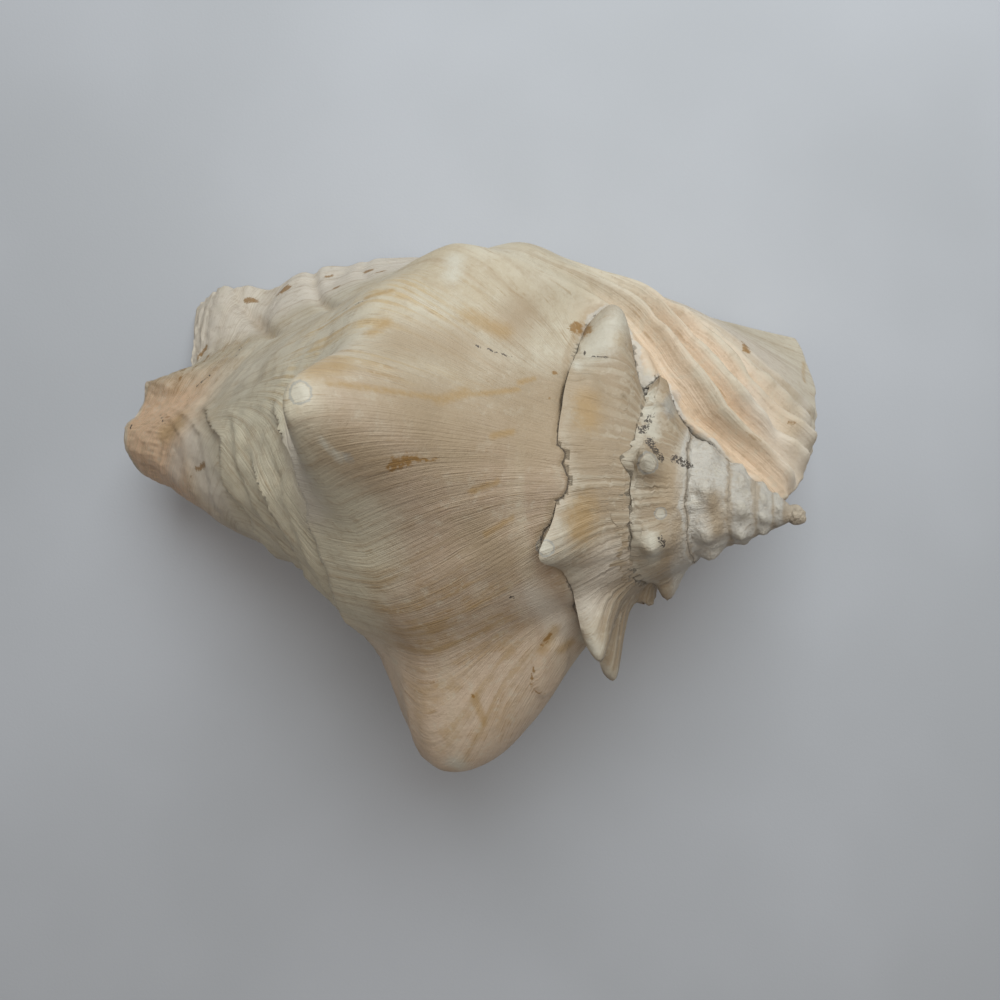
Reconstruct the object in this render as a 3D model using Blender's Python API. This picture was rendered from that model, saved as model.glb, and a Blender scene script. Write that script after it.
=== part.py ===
"""Queen conch shell, lying on its aperture, as one closed solid.

The shell is built the way it grew. One whorl profile is turned round a tilted axis and enlarged
by a constant factor a turn, which gives the spire and the body whorl. The last half turn leaves
that law: its sections are lofted out to the rim of the flared lip, up to the tip of the spire on
one side and down to the siphonal canal on the other.

Frame: +X towards the apex, +Y towards the outer lip, +Z up, and the shell stands on Z = 0.
Lengths below are in millimetres, angles in degrees. MM turns them into metres at the end.
"""

import math

import bpy
import numpy as np

MM = 0.001

# The axis, from the apex towards the canal
APEX = np.array([84.0, -4.4, 101.0])
AXIS_TILT = 20.0
AXIS_HEADING = 7.0

# Growth. Angle 0 is the top of the last whorl, and angles run backwards towards the apex.
GROWTH_PER_TURN = 1.5
SUTURE = 61.0
SHELL_END = 229.0
TURNS = 6

# The whorl's profile at angle 0: distance from the apex along the axis, and radius
STATION = np.array([61.0, 71.0, 83.0, 93.0, 103.0, 118.0, 143.0, 173.0, 203.0, 229.0])
RADIUS = np.array([35.5, 43.5, 51.5, 58.0, 61.0, 58.0, 47.5, 33.0, 21.5, 15.5])
SHOULDER = 103.0
COLUMELLA = 8.0

# Foot of the columella: how far it ends before the canal does, how softly the rows bunch up there,
# and the length and the share of its taper
FOOT_GAP = 3.0
END_SOFTNESS = 7.0
FOOT_LENGTH = 6.0
FOOT_TAPER = 0.85

# Parietal wall, where the inner whorl takes the place of the body whorl's own wall: its thickness,
# how far it sinks under the whorl's start and where, the angles over which it comes in on either
# side, and the turn by which it is complete
PARIETAL_WALL = 1.2
PARIETAL_SINK = 6.0
PARIETAL_START = (-176.0, -164.0)
PARIETAL_AHEAD = (95.0, 165.0)
PARIETAL_BEHIND = (-140.0, -40.0)
PARIETAL_TURN = 1.15

# Spines: growth angle, station, height, half-width in degrees, half-widths along the profile
# towards the apex and towards the canal, lean towards the apex as a share of the height, and
# bluntness, from 1 for a cone to 3 for a rounded lobe
SPINES = [
    (-152.0, 112.0, 33.0, 16.0, 17.0, 17.0, -0.1, 2.0),
    (-97.0, 104.0, 38.5, 24.0, 37.0, 20.0, 0.0, 2.5),
    (6.0, 103.0, 33.0, 14.0, 22.0, 13.0, 0.0, 1.6),
    (71.0, 103.0, 7.0, 9.0, 16.0, 20.0, 0.0, 1.6),
    (88.0, 92.0, 5.0, 14.0, 12.0, 12.0, 0.0, 1.8),
]
SPIRE_SPINES = [
    (-278.0, 83.0, 18.0, 11.0, 12.0, 9.0, 0.3, 1.8),
    (-314.0, 83.0, 3.0, 6.0, 6.0, 5.0, 0.0, 1.8),
    (-384.0, 84.0, 8.0, 8.0, 8.0, 8.0, -0.3, 1.8),
    (-433.0, 87.0, 13.0, 9.0, 8.0, 8.0, 0.0, 1.8),
    (-460.0, 87.0, 25.0, 9.0, 8.0, 10.0, 0.15, 1.7),
    (-520.0, 86.0, 12.0, 10.0, 9.0, 9.0, 0.0, 1.8),
    (-642.0, 87.0, 11.0, 9.0, 9.0, 9.0, 0.0, 1.8),
    (-701.0, 86.0, 5.0, 10.0, 9.0, 9.0, 0.0, 1.8),
    (-750.0, 86.0, 5.0, 10.0, 9.0, 9.0, 0.0, 1.8),
    (-828.0, 88.0, 18.0, 12.0, 9.0, 11.0, -0.65, 1.8),
]
SPINE_FALL = 1.1

# The oldest spines, up to the apex: first angle, step, height at full size, and the other values
OLDER_SPINE_FROM = -880.0
OLDER_SPINE_STEP = 47.0
OLDER_SPINE_HEIGHT = 13.0
OLDER_SPINE_STATION = 87.0
OLDER_SPINE_SHAPE = (12.0, 9.0, 9.0, 0.3, 1.8)

# The flared lip: sections from the spire or the free rear edge, over the shoulder, to the canal
LIP_ANGLES = [74.0, 98.0, 122.0, 146.0]
LIP_SECTIONS = [
    [(72, 0, 93), (59, 17, 90), (46, 34, 91), (33, 55, 82), (12, 64, 90), (-12, 67, 86),
     (-32, 65, 80), (-56, 60, 66), (-82, 52, 52), (-107, 46, 40), (-127, 42, 34)],
    [(98, 12, 68), (82, 30, 74), (63, 52, 70), (43, 65, 66), (18, 76, 66), (-9, 79, 62),
     (-32, 76, 57), (-60, 71, 46), (-84, 62, 37), (-104, 54, 31), (-119, 46, 28)],
    [(117, 40, 30), (97, 50, 41), (75, 64, 42), (52, 74, 38), (24, 82, 36), (-5, 88, 33),
     (-33, 87, 30), (-62, 84, 24), (-86, 77, 19), (-106, 68, 18), (-117, 58, 18)],
    [(120, 66, 4), (100, 70, 3), (80, 74, 3), (58, 79, 3), (32, 88, 3), (0, 97, 3),
     (-32, 98, 3), (-62, 97, 3), (-86, 90, 3), (-106, 84, 4), (-118, 76, 8)],
]
BODY_ANGLES = np.arange(-190.0, 51.0, 30.0)
BODY_STATIONS = [53.0, 57.0, 61.0, 71.0, 83.0, 103.0, 121.0, 148.0, 175.0, 203.0, 229.0]
CHORD_ROW = -3

# Slope of the part of the whorl that tucks in under the previous one, beyond the suture
TUCK_SLOPE = 1.4

# Spiral folds on the neck: station, height, half-width
NECK_FOLDS = [(150.0, 2.0, 6.0), (166.0, 2.5, 6.5), (189.0, 2.2, 7.0)]

# Folds on the front of the lip: place along the rim from 0 at the rear to 1 at the canal, height,
# half-width along the rim, and the angle where they start
LIP_FOLDS = [(0.87, -5.0, 0.03, 75.0), (0.735, -2.0, 0.025, 75.0), (0.93, 1.0, 0.02, 90.0)]

# Ridges of growth on the rear wing: row, height, half-width in degrees, and where along v they
# fade out towards the shoulder
WING_RIDGES = [(73.5, 1.8, 2.4), (82.5, 2.4, 2.4), (88.5, 1.8, 2.0), (94.0, 2.2, 2.2)]
RIDGE_END = (0.26, 0.36)

# Rows of growth swing forwards near the rear edge of the wing: degrees a unit of v below the
# reach, between these rows
SWING_RATE = 45.0
SWING_REACH = 0.14
SWING_FROM = (58.0, 73.0)
SWING_TO = (98.0, 125.0)

# Wall: thickness, the lip's thickness and where it comes in, what is added where the body whorl
# starts and where that ends, and how far the spines are hollow
WALL = 4.0
LIP_WALL = 8.0
LIP_WALL_FROM = 90.0
START_WALL = 7.0
START_WALL_END = (-150.0, -110.0)
SPINE_HOLLOW = 0.45

# Flats that the shell stands on: how far the cut block reaches sideways and down
GROUND_MARGIN = 10.0
GROUND_DEPTH = 20.0

SHELL_COLOUR = (0.56, 0.45, 0.33, 1.0)
SHELL_ROUGHNESS = 0.55

# Mesh
AZIMUTH_STEPS = 40
ROWS_PER_WHORL = 5
SPIRAL_ROWS = 26
SHEET_ACROSS = 32
SHEET_ALONG = 31
CROWDS_ACROSS = [(-152.0, 12.0, 1.0), (-97.0, 16.0, 1.2), (6.0, 14.0, 1.6), (85.0, 15.0, 3.5)]
CROWDS_ALONG = [(0.53, 0.09, 1.0)]
CROWD_SAMPLES = 2000


def smoothstep(low, high, value):
    t = np.clip((value - low) / (high - low), 0.0, 1.0)
    return t * t * (3.0 - 2.0 * t)


def spline_weights(knots, samples):
    """Weights that read a natural cubic spline through values at the knots, at each sample."""
    knots = np.asarray(knots, float)
    samples = np.asarray(samples, float)
    count = len(knots)
    gap = np.diff(knots)
    bend = np.zeros((count, count))
    rise = np.zeros((count, count))
    bend[0, 0] = bend[-1, -1] = 1.0
    for i in range(1, count - 1):
        bend[i, i - 1:i + 2] = gap[i - 1], 2.0 * (gap[i - 1] + gap[i]), gap[i]
        rise[i, i - 1:i + 2] = 6.0 / gap[i - 1], -6.0 / gap[i - 1] - 6.0 / gap[i], 6.0 / gap[i]
    second = np.linalg.solve(bend, rise)
    cell = np.clip(np.searchsorted(knots, samples) - 1, 0, count - 2)
    h = gap[cell]
    b = (samples - knots[cell]) / h
    a = 1.0 - b
    weights = np.zeros((len(samples), count))
    rows = np.arange(len(samples))
    weights[rows, cell] += a
    weights[rows, cell + 1] += b
    weights += ((a ** 3 - a) * h * h / 6.0)[:, None] * second[cell]
    weights += ((b ** 3 - b) * h * h / 6.0)[:, None] * second[cell + 1]
    return weights


def growth(angle):
    return GROWTH_PER_TURN ** (np.asarray(angle) / 360.0)


def profile(station):
    station = np.asarray(station, float)
    flat = np.clip(station, STATION[0], STATION[-1]).ravel()
    return (spline_weights(STATION, flat) @ RADIUS).reshape(station.shape)


def axis_frame():
    tilt = math.radians(AXIS_TILT)
    heading = math.radians(AXIS_HEADING)
    flat = math.cos(tilt)
    along = np.array([-flat * math.cos(heading), flat * math.sin(heading), -math.sin(tilt)])
    side = np.array([math.sin(heading), math.cos(heading), 0.0])
    return along, np.cross(side, along), side


ALONG, UP, SIDE = axis_frame()


def radial(angle):
    turned = np.radians(angle)[..., None]
    return np.cos(turned) * UP + np.sin(turned) * SIDE


def place(s, r, angle):
    """Point at distance s down the axis and r from it, at an angle from the top towards the lip."""
    return APEX + np.asarray(s)[..., None] * ALONG + np.asarray(r)[..., None] * radial(angle)


def body_length(station, angle):
    """Distance down the axis of a profile station: scaled near the suture, fixed at the canal."""
    g = growth(angle)
    lower = SHOULDER * g + (station - SHOULDER) / (SHELL_END - SHOULDER) * (SHELL_END - SHOULDER * g)
    return np.where(station < SHOULDER, station * g, lower)


def body_radius(station, angle):
    keep = smoothstep(SHOULDER, SHELL_END, station)
    return profile(station) * growth(angle) ** (1.0 - keep)


def spine_offset(spines, angle, station):
    """How far the spines push the wall outwards, and towards the apex, as vectors."""
    angle, station = np.broadcast_arrays(angle, station)
    outward = radial(angle)
    total = np.zeros(outward.shape)
    for centre, at, height, wide, behind, ahead, lean, blunt in spines:
        reach = np.where(station < at, behind, ahead)
        d = np.sqrt(((angle - centre) / wide) ** 2 + ((station - at) / reach) ** 2)
        total += (height * np.exp(-SPINE_FALL * d ** blunt))[..., None] * (outward - lean * ALONG)
    return total


def older_spines():
    found = list(SPIRE_SPINES)
    angle = OLDER_SPINE_FROM
    while angle > -360.0 * TURNS:
        height = OLDER_SPINE_HEIGHT * float(growth(angle))
        found.append((angle, OLDER_SPINE_STATION, height) + OLDER_SPINE_SHAPE)
        angle -= OLDER_SPINE_STEP
    return found


def free_radius(station, angle, turn):
    """Radius of the whorl that shows, and past it that of the columella, which the canal wraps."""
    whorl = growth(angle) * profile(station)
    within = np.where(station < STATION[-1], whorl, COLUMELLA)
    return np.where(turn <= 1.0, whorl, np.maximum(within, COLUMELLA))


def sheet_radius(s, angle):
    """Radius of the body whorl one turn later, at a distance s down the axis."""
    g = growth(angle)
    lower = SHOULDER + (s - SHOULDER * g) * (SHELL_END - SHOULDER) / (SHELL_END - SHOULDER * g)
    station = np.where(s < SHOULDER * g, s / g, lower)
    return body_radius(np.clip(station, STATION[0], STATION[-1]), angle)


def core_points(angle, spiral):
    """The spire, and below the last suture the inner whorl, the parietal wall and the columella."""
    station_free = SUTURE * growth(360.0 * spiral)
    end = SHELL_END - FOOT_GAP
    s = -END_SOFTNESS * np.log(np.exp(-station_free / END_SOFTNESS) + math.exp(-end / END_SOFTNESS))
    turn = spiral - angle / 360.0
    station = s / growth(angle)
    inner = free_radius(station, angle, turn)
    azimuth = angle + 360.0
    outer = sheet_radius(s, np.where(azimuth < 0.0, azimuth, azimuth - 360.0))
    ahead, behind = smoothstep(*PARIETAL_AHEAD, azimuth), 1.0 - smoothstep(*PARIETAL_BEHIND, azimuth)
    thickness = PARIETAL_WALL - PARIETAL_SINK * smoothstep(*PARIETAL_START, azimuth)
    thickness = np.where(azimuth > 0.0, PARIETAL_WALL, thickness)
    share = np.where(azimuth > 0.0, ahead, behind) * smoothstep(1.0, PARIETAL_TURN, turn)
    r = inner + share * (outer + thickness - inner)
    r = r * (1.0 - FOOT_TAPER * smoothstep(end - FOOT_LENGTH, end, s))
    return place(s, r, angle) + spine_offset(older_spines(), angle, station)


def core_mesh():
    start = -360.0 * TURNS - 180.0
    step = 360.0 / AZIMUTH_STEPS
    last = TURNS * AZIMUTH_STEPS
    index = {}
    where = []

    def vertex(i, j):
        while j >= ROWS_PER_WHORL and i + AZIMUTH_STEPS <= last:
            i, j = i + AZIMUTH_STEPS, j - ROWS_PER_WHORL
        if (i, j) not in index:
            index[i, j] = len(where)
            where.append((start + i * step, j / ROWS_PER_WHORL + (start + i * step) / 360.0))
        return index[i, j]

    faces = []
    for i in range(last):
        rows = ROWS_PER_WHORL if i < last - AZIMUTH_STEPS else SPIRAL_ROWS
        for j in range(rows):
            faces.append((vertex(i, j), vertex(i + 1, j), vertex(i + 1, j + 1), vertex(i, j + 1)))
    tip = [vertex(i, 0) for i in range(AZIMUTH_STEPS)] + [vertex(0, j) for j in range(ROWS_PER_WHORL, 0, -1)]
    foot = [vertex(last - AZIMUTH_STEPS + i, SPIRAL_ROWS) for i in range(AZIMUTH_STEPS)]
    foot += [vertex(last, j) for j in range(SPIRAL_ROWS, SPIRAL_ROWS - ROWS_PER_WHORL, -1)]
    angle, spiral = np.array(where).T
    points = core_points(angle, spiral)
    ends = [place(0.0, 0.0, 0.0), points[foot].mean(axis=0)]
    faces += [(len(points), tip[(k + 1) % len(tip)], tip[k]) for k in range(len(tip))]
    faces += [(len(points) + 1, foot[k], foot[(k + 1) % len(foot)]) for k in range(len(foot))]
    return np.vstack([points, ends]), faces


def sheet_net():
    """Control points of the body whorl's and the lip's sections, and the two knot lists.

    The knots along a section, v from 0 to 1, are the chord lengths of one wide section of the lip.
    """
    angle = BODY_ANGLES[:, None]
    station = np.array(BODY_STATIONS)[None, :]
    r = body_radius(np.maximum(station, STATION[0]), angle)
    r = r - np.maximum(STATION[0] - station, 0.0) * TUCK_SLOPE
    body = place(body_length(station, angle), r, np.broadcast_to(angle, r.shape))
    net = np.concatenate([body, np.array(LIP_SECTIONS, float)])
    across = np.concatenate([BODY_ANGLES, LIP_ANGLES])
    chord = np.linalg.norm(np.diff(net[CHORD_ROW], axis=0), axis=1)
    along = np.concatenate([[0.0], np.cumsum(chord)])
    return net, across, along / along[-1]


def growth_angles(row, v):
    """Growth angle along each row of growth. Near the rear edge of the wing a row swings forwards."""
    swings = smoothstep(*SWING_FROM, row) * (1.0 - smoothstep(*SWING_TO, row))
    return row + swings * SWING_RATE * np.maximum(SWING_REACH - v, 0.0)


def folds(row, angle, station, v):
    """Spiral folds on the neck and the front of the lip, and ridges of growth on the rear wing."""
    total = np.zeros(angle.shape)
    for at, height, width in NECK_FOLDS:
        total += height * np.exp(-((station - at) / width) ** 2)
    for at, height, width, start in LIP_FOLDS:
        total += height * np.exp(-((v - at) / width) ** 2) * smoothstep(start, LIP_ANGLES[-1], angle)
    fade = 1.0 - smoothstep(*RIDGE_END, v)
    for at, height, width in WING_RIDGES:
        total += height * np.exp(-((row - at) / width) ** 2) * fade
    return total


def crowded(low, high, count, crowds):
    """Samples that crowd round given places: each has its centre, its half-width and its gain."""
    fine = np.linspace(low, high, CROWD_SAMPLES)
    weight = np.ones(len(fine))
    for centre, width, gain in crowds:
        weight += gain * np.exp(-((fine - centre) / width) ** 4)
    total = np.concatenate([[0.0], np.cumsum(0.5 * (weight[1:] + weight[:-1]))])
    return np.interp(np.linspace(0.0, total[-1], count), total, fine)


def sheet_normals(points):
    du = np.gradient(points, axis=0)
    dv = np.gradient(points, axis=1)
    normal = np.cross(du, dv)
    return normal / np.linalg.norm(normal, axis=2, keepdims=True)


def sheet_walls(u, v):
    """Outer and inner points of the body whorl and the lip, for rows u of growth and v along them."""
    net, across, along = sheet_net()
    row = u[:, None]
    angle = growth_angles(row, v[None, :])
    reads = spline_weights(across, angle.ravel()).reshape(len(u), len(v), -1)
    base = np.einsum("uvi,ijk,vj->uvk", reads, net, spline_weights(along, v))
    normal = sheet_normals(base)
    station = np.interp(v, along, BODY_STATIONS)[None, :]
    spikes = spine_offset(SPINES, angle, station)
    outer = base + spikes + normal * folds(row, angle, station, v[None, :])[..., None]
    early = 1.0 - smoothstep(*START_WALL_END, angle)
    lip = smoothstep(LIP_WALL_FROM, LIP_ANGLES[-1], angle)
    wall = WALL + (LIP_WALL - WALL) * lip + START_WALL * early
    inner = base - normal * wall[..., None] + (SPINE_HOLLOW * (1.0 - early))[..., None] * spikes
    return outer, inner


def sheet_mesh():
    """The sheet between both walls. The inner wall keeps every second row of growth."""
    _, across, along = sheet_net()
    u = crowded(across[0], across[-1], 2 * SHEET_ACROSS + 1, CROWDS_ACROSS)
    v = crowded(0.0, 1.0, SHEET_ALONG, CROWDS_ALONG)
    outer, inner = sheet_walls(u, v)
    inner = inner[::2]
    n_u, n_v = len(u), len(v)
    points = np.vstack([outer.reshape(-1, 3), inner.reshape(-1, 3)])

    def out(i, j):
        return i * n_v + j

    def within(i, j):
        return n_u * n_v + i * n_v + j

    faces = []
    for j in range(n_v - 1):
        for i in range(n_u - 1):
            faces.append((out(i, j), out(i + 1, j), out(i + 1, j + 1), out(i, j + 1)))
        for i in range(SHEET_ACROSS):
            faces.append((within(i, j + 1), within(i + 1, j + 1), within(i + 1, j), within(i, j)))
        faces.append((out(0, j), out(0, j + 1), within(0, j + 1), within(0, j)))
        last = out(n_u - 1, j), within(SHEET_ACROSS, j)
        faces.append((last[0] + 1, last[0], last[1], last[1] + 1))
    for i in range(SHEET_ACROSS):
        for j in (0, n_v - 1):
            a, m, b = out(2 * i, j), out(2 * i + 1, j), out(2 * i + 2, j)
            c, d = within(i, j), within(i + 1, j)
            for corner in ((b, m, d), (m, c, d), (m, a, c)):
                faces.append(corner if j == 0 else corner[::-1])
    return points, faces


def clear_scene():
    for thing in list(bpy.data.objects):
        bpy.data.objects.remove(thing)


def mesh_object(name, points, faces):
    mesh = bpy.data.meshes.new(name)
    mesh.from_pydata((np.asarray(points) * MM).tolist(), [], faces)
    mesh.validate()
    made = bpy.data.objects.new(name, mesh)
    bpy.context.collection.objects.link(made)
    return made


def boolean(shell, helper, operation):
    helper.hide_render = True
    helper.display_type = "WIRE"
    modifier = shell.modifiers.new(helper.name, "BOOLEAN")
    modifier.operation = operation
    modifier.solver = "EXACT"
    modifier.object = helper


def ground_block(low, high):
    """Block under the shell. Cutting it off leaves the worn flats that the shell stands on."""
    (x0, y0, _), (x1, y1, _) = low - GROUND_MARGIN, high + GROUND_MARGIN
    points = [(x, y, z) for x in (x0, x1) for y in (y0, y1) for z in (-GROUND_DEPTH, 0.0)]
    faces = [(0, 1, 3, 2), (4, 6, 7, 5), (0, 4, 5, 1), (2, 3, 7, 6), (0, 2, 6, 4), (1, 5, 7, 3)]
    return points, faces


def shell_material():
    material = bpy.data.materials.new("shell")
    material.use_nodes = True
    shader = material.node_tree.nodes["Principled BSDF"]
    shader.inputs["Base Color"].default_value = SHELL_COLOUR
    shader.inputs["Roughness"].default_value = SHELL_ROUGHNESS
    shader.inputs["Metallic"].default_value = 0.0
    return material


def main():
    clear_scene()
    core_points_mm, core_faces = core_mesh()
    sheet_points_mm, sheet_faces = sheet_mesh()
    above = np.vstack([core_points_mm, sheet_points_mm])
    above = above[above[:, 2] >= 0.0]
    low, high = above.min(axis=0), above.max(axis=0)
    middle = np.array([0.5 * (low[0] + high[0]), 0.5 * (low[1] + high[1]), 0.0])
    shell = mesh_object("conch_shell", core_points_mm - middle, core_faces)
    shell.data.materials.append(shell_material())
    boolean(shell, mesh_object("body_whorl", sheet_points_mm - middle, sheet_faces), "UNION")
    boolean(shell, mesh_object("ground", *ground_block(low - middle, high - middle)), "DIFFERENCE")


main()
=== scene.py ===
# %% [markdown]
# # A queen conch, grown from one law
#
# A conch adds a little shell at the edge of its mouth all its life. Each turn is a larger copy of the
# one before, so one profile, turned round an axis and enlarged by a constant factor, gives the spire
# and the big last whorl. An adult then flares its lip and stops. The cells below follow that order:
# the law, the last whorl with its lip, the spire, their union, and then the finish.

# %% Load the solid that the shell has to match
import contextlib
import math
from types import SimpleNamespace

import bpy
import numpy as np
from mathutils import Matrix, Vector, kdtree


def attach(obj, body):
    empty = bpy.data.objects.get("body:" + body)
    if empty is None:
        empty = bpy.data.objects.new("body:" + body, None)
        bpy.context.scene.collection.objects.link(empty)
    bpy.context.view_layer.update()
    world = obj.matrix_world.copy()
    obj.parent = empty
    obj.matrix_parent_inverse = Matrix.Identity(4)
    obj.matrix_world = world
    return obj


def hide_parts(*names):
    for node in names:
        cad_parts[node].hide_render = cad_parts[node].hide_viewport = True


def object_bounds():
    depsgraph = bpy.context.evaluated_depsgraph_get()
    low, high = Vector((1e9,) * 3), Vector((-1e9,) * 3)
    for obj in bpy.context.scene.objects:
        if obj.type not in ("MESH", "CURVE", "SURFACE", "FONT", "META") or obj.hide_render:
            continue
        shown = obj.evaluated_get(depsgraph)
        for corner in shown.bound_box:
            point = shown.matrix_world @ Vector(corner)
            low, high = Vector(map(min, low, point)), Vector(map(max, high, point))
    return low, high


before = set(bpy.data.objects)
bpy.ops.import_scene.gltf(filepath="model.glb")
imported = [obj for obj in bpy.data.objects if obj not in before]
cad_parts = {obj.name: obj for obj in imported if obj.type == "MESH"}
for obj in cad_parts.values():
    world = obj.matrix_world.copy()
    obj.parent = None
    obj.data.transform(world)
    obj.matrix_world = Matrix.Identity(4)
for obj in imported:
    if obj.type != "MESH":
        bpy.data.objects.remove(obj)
cad_low, cad_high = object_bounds()
print("solid:", [round(1000.0 * side, 1) for side in cad_high - cad_low], "mm")

# %% [markdown]
# ## Camera, board and light
#
# The shell lies on a pale board and is seen from straight above, from close by, so what is near the
# lens looks larger. The light is broad and soft and comes from beyond the lip, a little from the left,
# which leaves a soft shadow on the spire's side.

# %% Camera straight above
CAMERA = (0.00745, -0.00603, 0.306)
LENS = 27.04
SENSOR_WIDTH = 36.0
NEAREST = 0.01

bpy.ops.object.camera_add(location=CAMERA, rotation=(0.0, 0.0, 0.0))
camera = bpy.context.active_object
camera.data.lens = LENS
camera.data.sensor_width = SENSOR_WIDTH
camera.data.clip_start = NEAREST
bpy.context.scene.camera = camera
bpy.context.scene.view_settings.view_transform = "Standard"
print("camera at", CAMERA, "lens", LENS)

# %% The board
BOARD_SIZE = 3.0
BOARD_GAP = 0.0004

bpy.ops.object.select_all(action="DESELECT")
bpy.ops.mesh.primitive_plane_add(size=BOARD_SIZE, location=(0.0, 0.0, -BOARD_GAP))
floor = bpy.context.active_object
floor.name = "board"
print("board", BOARD_SIZE, "m wide")

# %% Lamps and the light of the room
# name, place, size in metres, power in watts and colour
LAMPS = [
    ("window", (0.12, 0.50, 0.66), 0.6, 6.1, (0.87, 0.95, 1.0)),
    ("ceiling", (0.10, -0.02, 1.2), 0.9, 4.2, (1.0, 0.98, 0.95)),
]
LAMPS_AIM = (0.0, 0.0, 0.05)
ROOM_COLOUR = (1.0, 0.93, 0.86, 1.0)
ROOM_STRENGTH = 0.14

for name, place_at, size, power, colour in LAMPS:
    bpy.ops.object.light_add(type="AREA", location=place_at)
    lamp = bpy.context.active_object
    lamp.name = name
    lamp.data.size = size
    lamp.data.energy = power
    lamp.data.color = colour
    lamp.rotation_euler = (Vector(LAMPS_AIM) - lamp.location).to_track_quat("-Z", "Y").to_euler()
world = bpy.data.worlds.new("room")
bpy.context.scene.world = world
world.use_nodes = True
room = world.node_tree.nodes["Background"]
room.inputs["Color"].default_value = ROOM_COLOUR
room.inputs["Strength"].default_value = ROOM_STRENGTH
print(len(LAMPS), "lamps")

# %% [markdown]
# ## Writing materials as sums
#
# A small class wraps a socket, so that a mask or a bump height can be written as an expression. Colours
# are mixed by Mix nodes, and each material is one function further down.

# %% A socket that can be added and multiplied
class Wire:
    def __init__(self, shader, socket):
        self.shader, self.socket = shader, socket

    def math(self, operation, first, second):
        return self.shader.add("ShaderNodeMath", {"operation": operation}, {0: first, 1: second}, 0)

    def __add__(self, other):
        return self.math("ADD", self, other)

    def __sub__(self, other):
        return self.math("SUBTRACT", self, other)

    def __rsub__(self, other):
        return self.math("SUBTRACT", other, self)

    def __mul__(self, other):
        return self.math("MULTIPLY", self, other)

    __radd__ = __add__
    __rmul__ = __mul__


# %% A material, and the ways to add nodes to it
class Shader:
    """A material with one Principled surface."""

    def __init__(self, name):
        self.material = bpy.data.materials.new(name)
        self.material.use_nodes = True
        self.tree = self.material.node_tree
        self.surface = self.tree.nodes["Principled BSDF"]

    def plug(self, socket, value):
        if isinstance(value, Wire):
            self.tree.links.new(value.socket, socket)
        elif isinstance(value, tuple) and len(value) == 3 and socket.type == "RGBA":
            socket.default_value = (*value, 1.0)
        else:
            socket.default_value = value

    def add(self, kind, settings, sockets, output):
        """Adds a node: its settings first, then its sockets by name, identifier or number."""
        node = self.tree.nodes.new(kind)
        for key, value in settings.items():
            setattr(node, key, value)
        for key, value in sockets.items():
            if isinstance(key, int):
                self.plug(node.inputs[key], value)
            else:
                match = [slot for slot in node.inputs if slot.identifier == key] + [node.inputs.get(key)]
                self.plug(match[0], value)
        outputs = {slot.identifier: slot for slot in node.outputs}
        return Wire(self, node.outputs[output] if isinstance(output, int) else outputs[output])

    def mix(self, factor, first, second):
        settings = {"data_type": "RGBA", "clamp_factor": True}
        sockets = {"Factor_Float": factor, "A_Color": first, "B_Color": second}
        return self.add("ShaderNodeMix", settings, sockets, "Result_Color")

    def step(self, value, low, high):
        """A mask that rises smoothly from 0 to 1 between two values."""
        sockets = {"Value": value, "From Min": low, "From Max": high}
        return self.add("ShaderNodeMapRange", {"interpolation_type": "SMOOTHSTEP"}, sockets, "Result")

    def painted(self, name):
        return self.add("ShaderNodeAttribute", {"attribute_name": name}, {}, "Fac")

    def painted_vector(self, name, scale):
        vector = self.add("ShaderNodeAttribute", {"attribute_name": name}, {}, "Vector")
        return self.add("ShaderNodeVectorMath", {"operation": "MULTIPLY"}, {0: vector, 1: scale}, "Vector")

    def place(self):
        return self.add("ShaderNodeTexCoord", {}, {}, "Object")

    def grain(self, vector, scale, detail, rough=0.5):
        sockets = {"Vector": vector, "Scale": scale, "Detail": detail, "Roughness": rough}
        return self.add("ShaderNodeTexNoise", {}, sockets, "Fac")

    def bump(self, height, distance, strength):
        sockets = {"Height": height, "Distance": distance, "Strength": strength}
        self.plug(self.surface.inputs["Normal"], self.add("ShaderNodeBump", {}, sockets, "Normal"))

    def finish(self, colour, roughness):
        self.plug(self.surface.inputs["Base Color"], colour)
        self.plug(self.surface.inputs["Roughness"], roughness)
        return self.material


# %% Board: painted fibreboard, pale and faintly uneven
BOARD_COLOUR = (0.46, 0.465, 0.485)
BOARD_SHADE = (0.42, 0.425, 0.44)
BOARD_ROUGHNESS = 0.65


def board_material():
    board = Shader("board")
    at = board.place()
    cloud = board.grain(at, scale=6.0, detail=3.0)
    fibre = board.grain(at, scale=900.0, detail=2.0)
    board.bump(fibre, distance=0.00015, strength=0.25)
    colour = board.mix(board.step(cloud, 0.35, 0.65), BOARD_COLOUR, BOARD_SHADE)
    return board.finish(colour, BOARD_ROUGHNESS)


floor.data.materials.append(board_material())
print("board material:", len(floor.data.materials[0].node_tree.nodes), "nodes")

# %% [markdown]
# ## The law of growth
#
# Everything is written in growth coordinates: an angle, which is how far round the axis the shell had
# grown, and a station, which is the distance from the apex along the axis once the growth is divided
# out. Lengths are in millimetres until a mesh is made.

# %% Constants of the law
MM = 0.001
APEX = np.array([84.0, -4.4, 101.0])
AXIS_TILT = 20.0
AXIS_HEADING = 7.0
GROWTH_PER_TURN = 1.5
SUTURE = 61.0
SHELL_END = 229.0
SHOULDER = 103.0
# the whorl's profile: its radius at each station
STATION = np.array([61.0, 71.0, 83.0, 93.0, 103.0, 118.0, 143.0, 173.0, 203.0, 229.0])
RADIUS = np.array([35.5, 43.5, 51.5, 58.0, 61.0, 58.0, 47.5, 33.0, 21.5, 15.5])
# the point of the law's frame that comes to the object's origin, so that the shell fills the solid's box
MIDDLE = np.array([-7.4469, 6.0272, 0.0])
print("growth a turn", GROWTH_PER_TURN, "over", len(STATION), "stations")


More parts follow.
